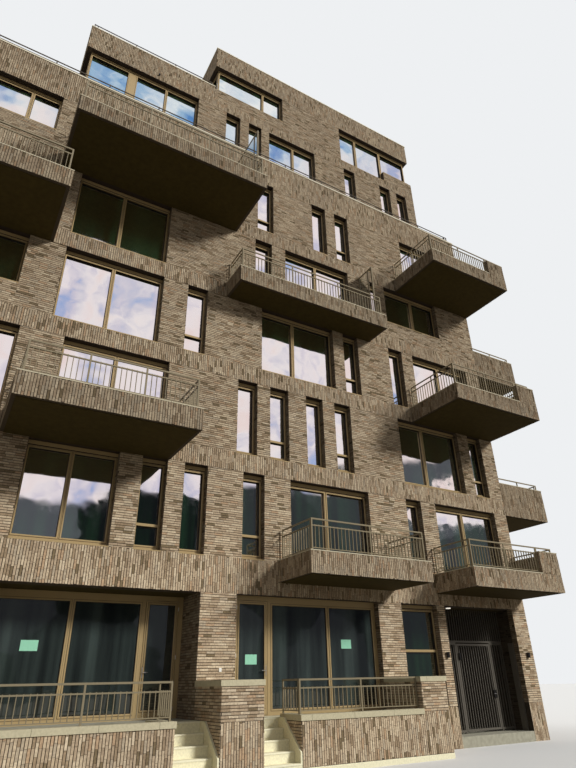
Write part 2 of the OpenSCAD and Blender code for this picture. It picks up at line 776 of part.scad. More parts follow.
module garden_rails() {
  color(frame_colour)
    for (g = garden_fronts)
      for (i = [0:len(g[0]) - 2]) {
        x = [at(g[0][i][1]), at(g[0][i + 1][0])];
        y = [g[1], g[1] + frame_d];
        sill = i == g[2] ? threshold - gap : bottom_w;
        block(x, y, [flat_z, flat_z + sill]);
        block(x, y, [head_z(0) - (i == g[2] ? garden_head - stile - gap : garden_head), head_z(0)]);
      }
}

module garden_glass() {
  color(glass_colour, 0.6)
    for (g = garden_fronts)
      for (i = [0:len(g[0]) - 2])
        if (i != g[2])
          block([at(g[0][i][1]), at(g[0][i + 1][0])], [g[1] + glass_in, g[1] + glass_in + glass_t],
            [flat_z + bottom_w, head_z(0) - garden_head]);
}

function door_between(posts, i) = [posts[i][1] + gap, posts[i + 1][0] - gap];
loggia_door_u = door_between(loggia_posts, 2);
terrace_door_u = door_between(middle_posts, 0);
door_z = [flat_z + threshold, head_z(0) - garden_head + stile];

module door_leaf(u, y) {
  w = u[1] - u[0];
  h = door_z[1] - door_z[0];
  standing(at(u[0]), y, door_z[0], leaf_d) difference() {
    square([w, h]);
    translate([stile, 2 * stile]) square([w - 2 * stile, h - 3 * stile]);
  }
}

module door_pane(u, y) {
  block([at(u[0] + stile), at(u[1] - stile)], [y + leaf_glass_in, y + leaf_glass_in + glass_t],
    [door_z[0] + 2 * stile, door_z[1] - stile]);
}

// Spindle of a handle on its plate, standing out on the street side
module door_handle(u, y) {
  z = flat_z + handle_z;
  half = handle_plate / 2;
  block([at(u) - half[0], at(u) + half[0]], [y - handle_plate[1], y], [z - half[2], z + half[2]]);
  translate([at(u), y - handle_plate[1], z]) rotate([90, 0, 0])
    cylinder(h = spindle[1], r = spindle[0], $fn = sides);
}

// Three barrels on the axis beside the edge u of a leaf. The leaf runs from that edge in the direction
// along, and the barrels stand off its face y in the direction out.
module hinge_barrels(u, along, y, out, z) {
  axis = [at(u - along * barrel_in), y + out * barrel_out];
  for (h = [z[0] + 2 * barrel_h, (z[0] + z[1]) / 2, z[1] - 2 * barrel_h])
    translate([axis[0], axis[1], h - barrel_h / 2]) {
      cylinder(h = barrel_h, r = barrel_r, $fn = sides);
      block([min(0, along * plate_w), max(0, along * plate_w)],
        [min(0, -out * barrel_out), max(0, -out * barrel_out)], [0, barrel_h]);
    }
}

module loggia_door() {
  color(frame_colour) {
    door_leaf(loggia_door_u, loggia_in);
    door_handle(loggia_door_u[0] + stile / 2, loggia_in);
    hinge_barrels(loggia_door_u[1], -1, loggia_in, -1, door_z);
  }
}

module loggia_door_glass() {
  color(glass_colour, 0.6) door_pane(loggia_door_u, loggia_in);
}

module terrace_door() {
  color(frame_colour) {
    door_leaf(terrace_door_u, reveal);
    door_handle(terrace_door_u[1] - stile / 2, reveal);
    hinge_barrels(terrace_door_u[0], 1, reveal, -1, door_z);
  }
}

module terrace_door_glass() {
  color(glass_colour, 0.6) door_pane(terrace_door_u, reveal);
}

// One panel of the gate: bars between a top and a bottom rail, and a post at each end
module gate_panel(w, z, post_z) {
  gate_bars(w, z[0], z[1]);
  for (s = [z[0], z[1] - gate_rail_t]) translate([0, s]) square([w, gate_rail_t]);
  for (x = [0, w - gate_post]) translate([x, post_z]) square([gate_post, z[1] - post_z]);
}

module gate_screen() {
  width = passage[1] - passage[0];
  color(gate_colour) {
    standing(at(passage[0]), gate_in, 0, gate_d) {
      translate([0, gate_rail_z]) square([width, gate_rail_t]);
      gate_bars(width, gate_rail_z, head_z(0));
    }
    for (p = [[passage[0], gate_leaf_u[0] - gap], [gate_leaf_u[1] + gap, passage[1]]])
      standing(at(p[0]), gate_in, 0, gate_d)
        gate_panel(p[1] - p[0], [passage_z + panel_foot, gate_rail_z - joint], passage_z);
    block([at(passage[1]) - casing[0], at(passage[1])], [casing[1], casing[2]],
      [passage_z, passage_z + casing[3]]);
  }
}

module gate_leaf() {
  z = [passage_z + leaf_foot, gate_rail_z - leaf_head];
  color(gate_colour) {
    standing(at(gate_leaf_u[0]), gate_in, 0, gate_d)
      gate_panel(gate_leaf_u[1] - gate_leaf_u[0], z, z[0]);
    hinge_barrels(gate_leaf_u[0], 1, gate_in + gate_d, 1, z);
  }
}

terrace_y = [-terrace_out, terrace_t - terrace_out];

module terrace_decks() {
  color(concrete) {
    block([at(0), at(stair_1[0] - terrace_t)], [terrace_y[1], 0], [0, flat_z]);
    block([at(stair_1[0] - terrace_t + joint), at(stair_1[1])], [-landing, 0], [0, flat_z]);
    block([at(stair_2[0]), at(stair_2[1] + terrace_t - joint)], [-landing, 0], [0, flat_z]);
    block([at(stair_2[1] + terrace_t), at(right_pillar[0])], [terrace_y[1], 0], [0, flat_z]);
  }
}

wall_top = flat_z + terrace_rise - coping_t;

module terrace_walls() {
  color(brick) {
    block([at(0), at(stair_1[0])], terrace_y, [0, wall_top]);
    block([at(stair_1[1]), at(stair_2[0])], [-terrace_out, 0], [0, pillar_h - coping_t]);
    block([at(stair_2[1]), at(right_pillar[0]) - joint], terrace_y, [0, wall_top]);
    block([at(right_pillar[0]), at(right_pillar[1])], [-terrace_out, 0], [0, pillar_h - coping_t]);
    for (u = [stair_1[0] - terrace_t, stair_2[1]])
      block([at(u), at(u + terrace_t)], [terrace_y[1] + joint, -landing - joint], [0, wall_top]);
  }
}

module terrace_copings() {
  over = coping_over;
  color(concrete) {
    for (x = [[at(0), at(stair_1[0]) + over], [at(stair_2[1]) - over, at(right_pillar[0]) - joint]])
      block(x, [terrace_y[0] - over, terrace_y[1]], [wall_top, wall_top + coping_t]);
    for (x = [[at(stair_1[0] - terrace_t), at(stair_1[0]) + over],
      [at(stair_2[1]), at(stair_2[1] + terrace_t)]])
      block(x, [terrace_y[1] + joint, -landing - joint], [wall_top, wall_top + coping_t]);
    for (p = [[stair_1[1], stair_2[0]], right_pillar])
      block([at(p[0]) - over, at(p[1]) + over], [-terrace_out - over, 0], [pillar_h - coping_t, pillar_h]);
  }
}

// Separate precast steps, and a sloping cheek at the right of each flight
module entrance_steps() {
  color(concrete)
    for (s = [stair_1, stair_2]) {
      for (i = [1:risers - 1])
        block([at(s[0]), at(s[1]) - stringer_t - joint],
          [-terrace_out + (i - 1) * going + (i == 1 ? 0 : joint), -terrace_out + i * going], [0, i * riser]);
      standing_side(at(s[1]) - stringer_t, 0, 0, stringer_t)
        polygon([[-landing - joint, 0], [-terrace_out, 0], [-terrace_out, 2 * riser],
          [-landing - going, flat_z], [-landing - joint, flat_z]]);
    }
}

module terrace_rails() {
  y = terrace_y[0] + terrace_t / 2;
  z = wall_top + coping_t;
  height = pillar_h - z;
  from_stair = 40;
  back = -landing - joint - from_stair;
  color(rail_colour) {
    standing(at(rail_in), y, z, rail_d) railing(stair_1[0] - rail_in - from_stair, height);
    standing(at(stair_2[1] + from_stair), y, z, rail_d)
      railing(right_pillar[0] - stair_2[1] - from_stair - joint - coping_over, height);
    for (x = [at(stair_1[0]) - from_stair - rail_d, at(stair_2[1]) + from_stair])
      standing_side(x, y + rail_d + joint, z, rail_d) railing(back - y - rail_d - joint, height);
  }
}

// Two round wall lamps on brackets beside the gate, and the spout
module lamps() {
  color(lamp_colour) {
    z = passage_z + lamp_z;
    for (u = lamp_u) {
      translate([at(u), -lamp_r - lamp_off, z]) cylinder(h = lamp_h, r = lamp_r, $fn = sides);
      block([at(u) - bracket[0], at(u) + bracket[0]], [-bracket[1], 0], [z + bracket[2], z + bracket[3]]);
    }
    translate([at(spout_u), setback, floor_z(top) - spout[0]]) rotate([90, 0, 0])
      cylinder(h = spout[1], r = spout[2], $fn = sides);
  }
}

ground_floor();
floor_slabs();
roof_slabs();
party_wall();
front_piers();
front_bands();
window_aprons();
side_piers();
side_bands();
rear_piers();
rear_bands();
inner_walls();
soffit_panels();
upper_piers();
upper_bands();
parapets();
parapet_copings();
parapet_rails();
balcony_decks();
balcony_fronts();
balcony_sides();
balcony_wings();
balcony_cappings();
balcony_rails();
balcony_side_rails();
privacy_screens();
front_frames();
front_glass();
side_and_rear_frames();
side_and_rear_glass();
garden_posts();
garden_rails();
garden_glass();
loggia_door();
loggia_door_glass();
terrace_door();
terrace_door_glass();
gate_screen();
gate_leaf();
terrace_decks();
terrace_walls();
terrace_copings();
entrance_steps();
terrace_rails();
lamps();
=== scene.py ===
"""Finish of the apartment block: brickwork, window joinery, metalwork, studio and camera."""
import math

import bpy
import numpy as np
from bpy.props import FloatProperty, FloatVectorProperty, PointerProperty
from bpy.types import Operator, Panel, PropertyGroup
from mathutils import Euler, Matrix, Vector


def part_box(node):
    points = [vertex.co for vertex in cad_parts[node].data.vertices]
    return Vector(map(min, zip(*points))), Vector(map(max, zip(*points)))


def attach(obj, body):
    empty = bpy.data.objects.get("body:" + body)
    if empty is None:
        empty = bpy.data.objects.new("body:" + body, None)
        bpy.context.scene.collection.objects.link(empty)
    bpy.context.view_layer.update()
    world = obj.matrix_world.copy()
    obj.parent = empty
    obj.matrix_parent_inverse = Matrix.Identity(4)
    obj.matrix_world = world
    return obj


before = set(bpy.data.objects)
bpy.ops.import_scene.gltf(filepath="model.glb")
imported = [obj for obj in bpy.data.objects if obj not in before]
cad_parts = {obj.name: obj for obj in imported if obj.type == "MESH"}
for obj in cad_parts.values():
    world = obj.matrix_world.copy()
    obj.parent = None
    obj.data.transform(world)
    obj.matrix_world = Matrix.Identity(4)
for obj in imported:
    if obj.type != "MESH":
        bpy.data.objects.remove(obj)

bl_info = {
    "name": "Apartment block finish",
    "version": (1, 0, 0),
    "blender": (4, 5, 0),
    "location": "View3D > Sidebar > Apartment block",
    "description": "Brickwork, joinery, metalwork and materials for a brick apartment block",
    "category": "Object",
}

BUILDING = "building"
# The ways a wall can face: the number of its normal's axis and the sign
FRONT, BACK, RIGHT, LEFT = (1, -1), (1, 1), (0, 1), (0, -1)
WALL = 0.4                                    # thickness of the outer walls
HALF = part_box("front_bands")[1].x             # half the length of the street front
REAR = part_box("rear_bands")[1].y              # plane of the rear wall
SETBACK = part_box("upper_bands")[0].y          # plane of the set-back storeys
UPPER_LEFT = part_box("upper_bands")[0].x       # left end of the set-back storeys
TOP_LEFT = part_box("roof_slabs")[0].x - WALL   # left end of the top storey
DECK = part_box("terrace_decks")[1].z           # floor of the terraces and the garden flats
PLINTH = 0.12                                 # height of the strips under the terrace walls
LOGGIA = (-5.825, -1.065)                     # sides of the open loggia
LOGGIA_DEPTH = 1.17                           # from the street face back to the loggia's frames
PASSAGE = (7.285, 10.445)                     # sides of the gate passage
PASSAGE_FLOOR, PASSAGE_HEAD = 0.28, 3.86      # floor and ceiling of the passage
PASSAGE_DEPTH = 4.5                           # how deep the passage shows its bricks
STAIRS = ((-2.075, -1.065), (-0.035, 0.935))  # left and right edges of the two flights
REVEAL = 0.2                                  # from a wall's face back to the window frames
FRAME_DEPTH = 0.07                            # from a frame's face back to its glass
EDGE_INSIDE = 0.44                            # from a balcony edge's foot up to the balcony's floor
HEAD = 0.56                                   # from a window's head up to the next floor
ROOF_DECKS = np.array([19.78, 25.78])         # floors of the two roof terraces
BEYOND = 99                                   # a limit past every wall
SAME, APART = 0.002, 0.01                     # planes closer than the first are one, past the second two
SEED = 7                                      # of the bricks' random sizes and tones


def linear(code):
    """Scene-linear RGB from an sRGB hex colour."""
    srgb = np.array([int(code[i:i + 2], 16) for i in (1, 3, 5)]) / 255
    return tuple(np.where(srgb <= 0.04045, srgb / 12.92, ((srgb + 0.055) / 1.055) ** 2.4))


def rgba(code):
    """Scene-linear RGBA from an sRGB hex colour."""
    return (*linear(code), 1.0)


def shade(base, share):
    """RGBA of a linear colour times a share, or times one for each channel."""
    return (*(np.array(base) * share), 1.0)


def colour(title, text, code):
    """A colour that the user may change."""
    return FloatVectorProperty(name=title, description=text, subtype="COLOR", size=3,
                               min=0, max=1, default=linear(code))


def length(title, text, value):
    """A length that the user may change."""
    return FloatProperty(name=title, description=text, default=value, min=0, unit="LENGTH")


def brightness(title, text, value):
    """A light's strength that the user may change."""
    return FloatProperty(name=title, description=text, default=value, min=0)


class BrickSettings(PropertyGroup):
    """Sizes of the bricks and their joints."""
    brick: length("Brick length", "Length of a brick's face", 0.217)
    height: length("Brick height", "Height of a brick's face", 0.0515)
    bed: length("Bed joint", "Width of the joints along the bricks", 0.011)
    butt: length("Butt joint", "Width of the joints between the bricks' ends", 0.0055)
    ragged: length("Ragged edge", "How far a brick's long edges wander", 0.004)
    proud: length("Joint depth", "Depth of the joints behind the flattest bricks", 0.005)
    relief: length("Relief", "How far the boldest bricks stand out from the flattest", 0.006)
    tilt: length("Tilt", "How far one corner of a brick's face stands out from the others", 0.003)
    mortar: colour("Mortar", "Colour of the mortar", "#463c30")


class MetalSettings(PropertyGroup):
    """Colours of the metalwork and joinery."""
    bronze: colour("Frames", "Anodised window and door frames", "#ad966c")
    # This dark colour also paints the shade of the window heads, on the lintel plates
    dark_bronze: colour("Lintels", "Dark lintel plates and seals", "#2c2018")
    railing: colour("Railings", "Powder-coated railings of the balconies and terraces", "#82775f")
    roof_rail: colour("Roof railings", "Powder-coated railings of the roofs", "#4c4438")
    gate: colour("Gate", "Powder-coated gate", "#615c53")
    steel: colour("Handles", "Brushed steel handles", "#c9c8c4")


class StageSettings(PropertyGroup):
    """Studio light."""
    key: brightness("Key light", "Strength of the soft sun", 3.95)
    back: brightness("Back light", "Strength of the soft light from behind", 1.5)
    fill: brightness("Fill", "Strength of the pale surroundings", 0.38)


# Meshes

def add_object(name, data):
    """An object at the origin of the scene."""
    made = bpy.data.objects.new(name, data)
    bpy.context.scene.collection.objects.link(made)
    return made


def mesh_piece(name, points, faces, material, body=BUILDING, slot=None, smooth=False):
    """A mesh object from an array of points and a list of face arrays, each with one corner count."""
    corners = np.concatenate([group.ravel() for group in faces])
    counts = np.concatenate([np.full(len(group), group.shape[1]) for group in faces])
    starts = np.concatenate([[0], np.cumsum(counts)[:-1]])
    mesh = bpy.data.meshes.new(name)
    mesh.vertices.add(len(points))
    mesh.vertices.foreach_set("co", np.asarray(points, np.float32).ravel())
    mesh.loops.add(len(corners))
    mesh.loops.foreach_set("vertex_index", corners.astype(np.int32))
    mesh.polygons.add(len(starts))
    mesh.polygons.foreach_set("loop_start", starts.astype(np.int32))
    mesh.polygons.foreach_set("use_smooth", np.full(len(starts), smooth))
    mesh.update(calc_edges=True)
    mesh.validate()
    mesh.materials.append(material)
    piece = add_object(name, mesh)
    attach(piece, body)
    return piece


def joined(shapes):
    """One list of points from several shapes, and one list of their faces for each corner count."""
    offset, points, faces = 0, [], {}
    for shape_points, groups in shapes:
        points.append(shape_points)
        for group in groups:
            faces.setdefault(group.shape[1], []).append(group + offset)
        offset += len(shape_points)
    return np.concatenate(points), [np.concatenate(group) for group in faces.values()]


def shape_piece(name, shapes, material, body=BUILDING, slot=None, smooth=False):
    """One piece of several shapes."""
    return mesh_piece(name, *joined(shapes), material, body, slot, smooth)


def triangles(node, way):
    """Corners of a CAD node's triangles that face one way, which the cross product of two edges tells."""
    axis, sign = way
    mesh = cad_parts[node].data
    mesh.calc_loop_triangles()
    where = np.empty(len(mesh.vertices) * 3)
    mesh.vertices.foreach_get("co", where)
    index = np.empty(len(mesh.loop_triangles) * 3, np.int32)
    mesh.loop_triangles.foreach_get("vertices", index)
    tri = where.reshape(-1, 3)[index].reshape(-1, 3, 3)
    normal = np.cross(tri[:, 1] - tri[:, 0], tri[:, 2] - tri[:, 0])
    normal /= np.maximum(np.linalg.norm(normal, axis=1, keepdims=True), 1e-12)
    return tri[normal[:, axis] * sign > 0.99]


def facing(node, way, plane=None):
    """Flat faces of a CAD node that face one way, as rows of plane, low and high along the wall, and low and
    high in z. Each face of a box is two triangles, and the box round either is the whole face."""
    axis, along = way[0], 1 - way[0]
    tri = triangles(node, way)
    if plane is not None:
        tri = tri[np.abs(tri[:, 0, axis] - plane) < SAME]
    low, high = tri.min(1), tri.max(1)
    rows = np.stack([low[:, axis], low[:, along], high[:, along], low[:, 2], high[:, 2]], 1)
    return np.unique(rows.round(4), axis=0)


def to_wall(way, plane, along, out, up):
    """Points from distances along a wall, out of its face and up."""
    across = plane + way[1] * out
    return np.stack([along, across, up] if way[0] == 1 else [across, along, up], -1)


def outward(faces, way):
    """Faces wound to look out of a wall: the order turns over where the wall's directions are left-handed."""
    return faces if way in (FRONT, RIGHT) else faces[:, ::-1]


def rings(rows, way, profile, closed=True):
    """Mitred frames round openings. At each corner the profile's points step in from the opening's edges by
    their first number and stand out of its plane by their second. A closed profile's last point joins its
    first."""
    inset, out = np.array(profile).T
    plane, low, high, base, head = [v[:, None, None] for v in np.array(rows).T]
    left, top = np.array([1, 0, 0, 1])[:, None], np.array([0, 0, 1, 1])[:, None]
    along = np.where(left, low + inset, high - inset)
    up = np.where(top, head - inset, base + inset)
    points = to_wall(way, plane, along, out + 0 * along, up).reshape(-1, 3)
    count = len(inset)
    strips = np.arange(count if closed else count - 1)
    window, corner, step = np.meshgrid(np.arange(len(rows)), np.arange(4), strips, indexing="ij")
    here, after = (window * 4 + corner) * count, (window * 4 + (corner + 1) % 4) * count
    following = (step + 1) % count
    faces = np.stack([here + step, after + step, after + following, here + following], -1).reshape(-1, 4)
    return points, [outward(faces, way)]


def bars(rows, way, section):
    """Bars along a wall with flat ends. Rows hold plane, low, high and height. The section's points, taken
    round to the left, are distances out of the plane and up from the height."""
    out, up = np.array(section).T
    count = len(out)
    plane, low, high, height = [v[:, None, None] for v in np.array(rows)[:, :4].T]
    along = np.concatenate([low, high], 1) + 0 * out
    points = to_wall(way, plane, along, out + 0 * along, height + up + 0 * along).reshape(-1, 3)
    bar, step = np.meshgrid(np.arange(len(rows)) * 2 * count, np.arange(count), indexing="ij")
    after = (step + 1) % count
    around = np.stack([bar + step, bar + count + step, bar + count + after, bar + after], -1).reshape(-1, 4)
    start = bar[:, :1]
    ends = np.concatenate([start + np.arange(count), start + count + np.arange(count)[::-1]])
    return points, [outward(around, way), outward(ends, way)]


def skin(count, sides):
    """Faces over a row of rings with a flat end on the first and the last. Each point joins the next one of
    its ring and the same two of the next ring."""
    ring, slot = np.meshgrid(np.arange(count - 1), np.arange(sides), indexing="ij")
    here, after = ring * sides + slot, ring * sides + (slot + 1) % sides
    around = np.stack([here, after, after + sides, here + sides], -1).reshape(-1, 4)
    circle = np.arange(sides)
    return [around, np.stack([circle[::-1], (count - 1) * sides + circle])]


def lathe(centre, direction, profile, sides=24):
    """A surface of revolution: the profile's radius and distance along the direction, turned all round."""
    radius, height = np.array(profile).T
    main = np.array(direction, float)
    side = np.cross(main, [0, 0, 1] if abs(main[2]) < 0.9 else [1, 0, 0])
    side /= np.linalg.norm(side)
    other = np.cross(main, side)
    turn = np.arange(sides) / sides * 2 * math.pi
    circle = np.cos(turn)[:, None] * side + np.sin(turn)[:, None] * other
    points = np.array(centre) + radius[:, None, None] * circle + height[:, None, None] * main
    return points.reshape(-1, 3), skin(len(radius), sides)


def tube(path, radius, sides=12):
    """A round bar along a path: a circle across the mean direction at each of its points."""
    path = np.array(path, float)
    way = np.gradient(path, axis=0)
    way /= np.linalg.norm(way, axis=1, keepdims=True)
    side = np.cross(way, [0, 0, 1])
    side /= np.linalg.norm(side, axis=1, keepdims=True)
    other = np.cross(way, side)
    turn = np.arange(sides)[:, None] / sides * 2 * math.pi
    points = path[:, None] + radius * (np.cos(turn) * side[:, None] + np.sin(turn) * other[:, None])
    return points.reshape(-1, 3), skin(len(path), sides)


def plate(x, y, z, soft=0.003):
    """A flat plate that faces the street between two x, two y and two z: a ring whose profile runs forward
    from the back and then in by a bevel, closed by a front and a back face."""
    depth = y[1] - y[0]
    points, faces = rings([[y[1], *x, *z]], FRONT, [(0, 0), (0, depth - soft), (soft, depth)], closed=False)
    corners = np.arange(4)[None] * 3
    return points, [faces[0], corners + 2, corners[:, ::-1]]


# Windows

def windows(frames, glass, way):
    """Openings and panes of the CAD windows of one wall, as rows of the frame's plane and edges. The glass
    fills an opening behind its frame, and the frame's corners inside it are the edges of the bars."""
    axis, sign = way
    corners = triangles(frames, way).reshape(-1, 3)
    found = []
    for plane, low, high, base, head in facing(glass, way):
        face = plane + sign * FRAME_DEPTH
        spots = corners[np.abs(corners[:, axis] - face) < SAME][:, [1 - axis, 2]]
        inside = (spots > [low + APART, base + APART]) & (spots < [high - APART, head - APART])
        edges = [np.unique(v.round(3)) for v in spots[inside.all(1)].T]
        across, up = [v.reshape(-1, 2) if len(v) % 2 == 0 else [] for v in edges]
        if len(across) and len(up):
            found.append(([face, low, high, base, head], [[face, *a, *u] for a in across for u in up]))

    # A face that is no rectangle has triangles with different boxes. One that holds another is left out.
    def holds(a, b):
        """Whether box a holds box b in the same plane."""
        return a is not b and a[1] <= b[1] and a[2] >= b[2] and a[3] <= b[3] and a[4] >= b[4] and a[0] == b[0]

    kept = [(hole, panes) for hole, panes in found if not any(holds(hole, other) for other, _ in found)]
    return np.array([hole for hole, _ in kept]), np.array([pane for _, panes in kept for pane in panes])


# Brickwork

# The four sides and the face of a brick, whose corners 0 to 3 lie on the wall and 4 to 7 in front of them
BRICK_BOX = np.array([[4, 5, 6, 7], [0, 1, 5, 4], [1, 2, 6, 5], [2, 3, 7, 6], [3, 0, 4, 7]])
SHORTEST, THINNEST = 0.02, 0.012  # cut bricks smaller than this are left out


def scatter(values, seed):
    """Repeatable numbers from 0 to 1 for whole numbers: the fraction of a large multiple of a sine."""
    return np.modf(np.abs(np.sin(values * 12.9898 + seed * 78.233)) * 43758.5453)[0]


def lay(rows, way, upright, rng, size, clip=None, pale_foot=False):
    """Points, tones and faces of the bricks on some wall faces. Courses follow one grid over the whole
    building, each slid by its own amount, and bricks are cut at the edges of a face. Upright bricks swap the
    two directions. A clip keeps them between two distances along the wall and two heights."""
    points, tones = [], []
    pitch = np.array([size.brick + size.butt, size.height + size.bed])
    for plane, low, high, base, head in rows:
        if clip is not None:
            low, high = max(low, clip[0]), min(high, clip[1])
            base, head = max(base, clip[2]), min(head, clip[3])
        if high - low < SHORTEST or head - base < SHORTEST:
            continue
        run, stack = ((base, head), (low, high)) if upright else ((low, high), (base, head))
        course = np.arange(math.floor(stack[0] / pitch[1]), math.ceil(stack[1] / pitch[1]) + 1)
        slide = scatter(course, 3 if upright else 1) * pitch[0]
        count = np.arange(math.floor(run[0] / pitch[0]) - 1, math.ceil(run[1] / pitch[0]) + 1)
        course, slot = np.meshgrid(course, count, indexing="ij")
        start = slot * pitch[0] + slide[:, None]
        s0 = np.clip(start, *run).ravel()
        s1 = np.clip(start + size.brick, *run).ravel()
        bed = course * pitch[1] + size.bed / 2
        t0 = np.clip(bed + size.ragged * rng.random(course.shape), *stack).ravel()
        t1 = np.clip(bed + size.height - size.ragged * rng.random(course.shape), *stack).ravel()
        keep = (s1 - s0 > SHORTEST) & (t1 - t0 > THINNEST)
        s0, s1, t0, t1 = s0[keep], s1[keep], t0[keep], t1[keep]
        tone = rng.random(len(s0))
        if pale_foot:
            # The cut ends along the foot of a balcony's edge are among the paler ones
            tone = np.where(s0 < run[0] + size.ragged, 0.6 + 0.35 * tone, tone)
        a0, a1, z0, z1 = (t0, t1, s0, s1) if upright else (s0, s1, t0, t1)
        along = np.stack([a0, a1, a1, a0] * 2, 1)
        up = np.stack([z0, z0, z1, z1] * 2, 1)
        stand = size.proud + size.relief * rng.random((len(s0), 1)) ** 2
        front = stand + size.tilt * rng.random((len(s0), 4))
        out = np.concatenate([np.zeros((len(s0), 4)), front], 1)
        points.append(to_wall(way, plane, along, out, up).reshape(-1, 3))
        tones.append(np.repeat(tone, 8))
    if not points:
        return np.zeros((0, 3)), np.zeros(0), np.zeros((0, 4), int)
    points, tones = np.concatenate(points), np.concatenate(tones)
    box = outward(BRICK_BOX, way)
    faces = (np.arange(len(points) // 8)[:, None, None] * 8 + box).reshape(-1, 4)
    return points, tones, faces


def above_decks(rows, way):
    """Rows of balcony walls, where the inner faces that meet a deck start at the deck's top."""
    decks = facing("balcony_decks", (way[0], -way[1]))
    wall = rows[:, None]
    level = np.abs(wall[..., 0] - decks[:, 0]) < SAME
    beside = (wall[..., 1] < decks[:, 2]) & (wall[..., 2] > decks[:, 1])
    between = (wall[..., 3] < decks[:, 4]) & (wall[..., 4] > decks[:, 3])
    rows[(level & beside & between).any(1), 3] += EDGE_INSIDE
    return rows


def brickwork(name, parts, material):
    """One piece of bricks from several runs of lay, each brick with its own tone."""
    points, tones, faces = zip(*parts)
    starts = np.cumsum([0] + [len(p) for p in points[:-1]])
    faces = np.concatenate([face + start for face, start in zip(faces, starts)])
    piece = mesh_piece(name, np.concatenate(points), [faces], material, slot="brick")
    tone = piece.data.attributes.new("tone", "FLOAT", "POINT")
    tone.data.foreach_set("value", np.concatenate(tones).astype(np.float32))


# Materials

def add_node(tree, kind, inputs=None, stops=(), interpolation="LINEAR", **settings):
    """Adds one node. Inputs are values for its sockets or the sockets that feed them, stops are the positions
    and colours of a ramp, and settings are the node's own properties."""
    made = tree.nodes.new(kind)
    for key, value in settings.items():
        setattr(made, key, value)
    for key, value in (inputs or {}).items():
        if isinstance(value, bpy.types.NodeSocket):
            tree.links.new(value, made.inputs[key])
        else:
            made.inputs[key].default_value = value
    if stops:
        band = made.color_ramp
        band.interpolation = interpolation
        while len(band.elements) < len(stops):
            band.elements.new(0.5)
        for element, (position, value) in zip(band.elements, stops):
            element.position, element.color = position, value
    return made


def new_material(name, **principled):
    """A material with one Principled shader. Returns the material, its tree and the shader."""
    material = bpy.data.materials.new(name)
    material.use_nodes = True
    tree = material.node_tree
    tree.nodes.clear()
    shader = add_node(tree, "ShaderNodeBsdfPrincipled", principled)
    add_node(tree, "ShaderNodeOutputMaterial", {"Surface": shader.outputs["BSDF"]})
    return material, tree, shader


def surface(tree, shader, tint, height, amount, depth, **settings):
    """Feeds the shader its colour, and a height as bumps that stand out by a depth in metres."""
    bump = add_node(tree, "ShaderNodeBump", {"Height": height, "Strength": amount, "Distance": depth},
                    **settings)
    tree.links.new(tint, shader.inputs["Base Color"])
    tree.links.new(bump.outputs["Normal"], shader.inputs["Normal"])


# Shares and colours of the bricks' tones: a few are burnt dark, and most are buff
BRICK_TONES = [(position, rgba(code)) for position, code in (
    (0.0, "#76674f"), (0.05, "#938067"), (0.16, "#a49178"), (0.32, "#af9c82"), (0.52, "#b8a68b"),
    (0.70, "#aa9b84"), (0.80, "#bfae93"), (0.91, "#ad9376"), (0.97, "#c6b59a"))]
# Heights in metres and the share that paints light or shade on the bricks there: paler low down, darker
# higher up, for the light that falls off up the walls
HEIGHT_SHADE = ((3, 1.05), (5, 0.97), (8, 0.80), (12, 0.75), (20, 0.68))


def painted_height_shade(tree, place, tint):
    """Painted light and shade that change with height, for the light that falls off up the building: the
    lowest storeys paler than the walls above them. A tint times a share that falls with the height."""
    height = add_node(tree, "ShaderNodeSeparateXYZ", {"Vector": place}).outputs["Z"]
    rise = add_node(tree, "ShaderNodeMapRange", {"Value": height, "From Min": 0.0, "From Max": 20.0})
    shade_ramp = add_node(tree, "ShaderNodeValToRGB", {"Fac": rise.outputs["Result"]},
                    [(level / 20, (share, share, share * 1.02, 1)) for level, share in HEIGHT_SHADE])
    return add_node(tree, "ShaderNodeMix", {"Factor": 1.0, "A": tint, "B": shade_ramp.outputs["Color"]},
                    data_type="RGBA", blend_type="MULTIPLY").outputs["Result"]


def clay_brick(name, share):
    """Hand-moulded facing brick, fired: a matt sandy face whose colour changes from brick to brick. A share
    below one darkens the whole copy as painted shade, for walls that lie in shadow."""
    material, tree, shader = new_material(name, **{"Roughness": 0.92, "Specular IOR Level": 0.3})
    place = add_node(tree, "ShaderNodeTexCoord").outputs["Object"]
    tone = add_node(tree, "ShaderNodeAttribute", attribute_name="tone", attribute_type="GEOMETRY")
    base = add_node(tree, "ShaderNodeValToRGB", {"Fac": tone.outputs["Fac"]}, BRICK_TONES, "CONSTANT")
    # Batches of bricks differ over 2 m. Real sand is 1 mm across and too fine to show, so the pattern is the
    # folds and patches of a sanded face, 50 mm wide and less.
    batch = add_node(tree, "ShaderNodeTexNoise", {"Vector": place, "Scale": 0.45, "Detail": 3.0})
    sand = add_node(tree, "ShaderNodeTexNoise",
                    {"Vector": place, "Scale": 20.0, "Detail": 6.0, "Roughness": 0.65})
    batch_tint = add_node(tree, "ShaderNodeValToRGB", {"Fac": batch.outputs["Fac"]},
                          [(0.3, shade((0.92, 0.91, 0.90), share)), (0.7, shade((1.08, 1.07, 1.04), share))])
    sand_tint = add_node(tree, "ShaderNodeValToRGB", {"Fac": sand.outputs["Fac"]},
                         [(0.35, (0.76, 0.75, 0.75, 1)), (0.65, (1.16, 1.16, 1.14, 1))])
    tint = base.outputs["Color"]
    for layer in (batch_tint, sand_tint):
        tint = add_node(tree, "ShaderNodeMix", {"Factor": 1.0, "A": tint, "B": layer.outputs["Color"]},
                        data_type="RGBA", blend_type="MULTIPLY").outputs["Result"]
    surface(tree, shader, painted_height_shade(tree, place, tint), sand.outputs["Fac"], 0.5, 0.003)
    return material


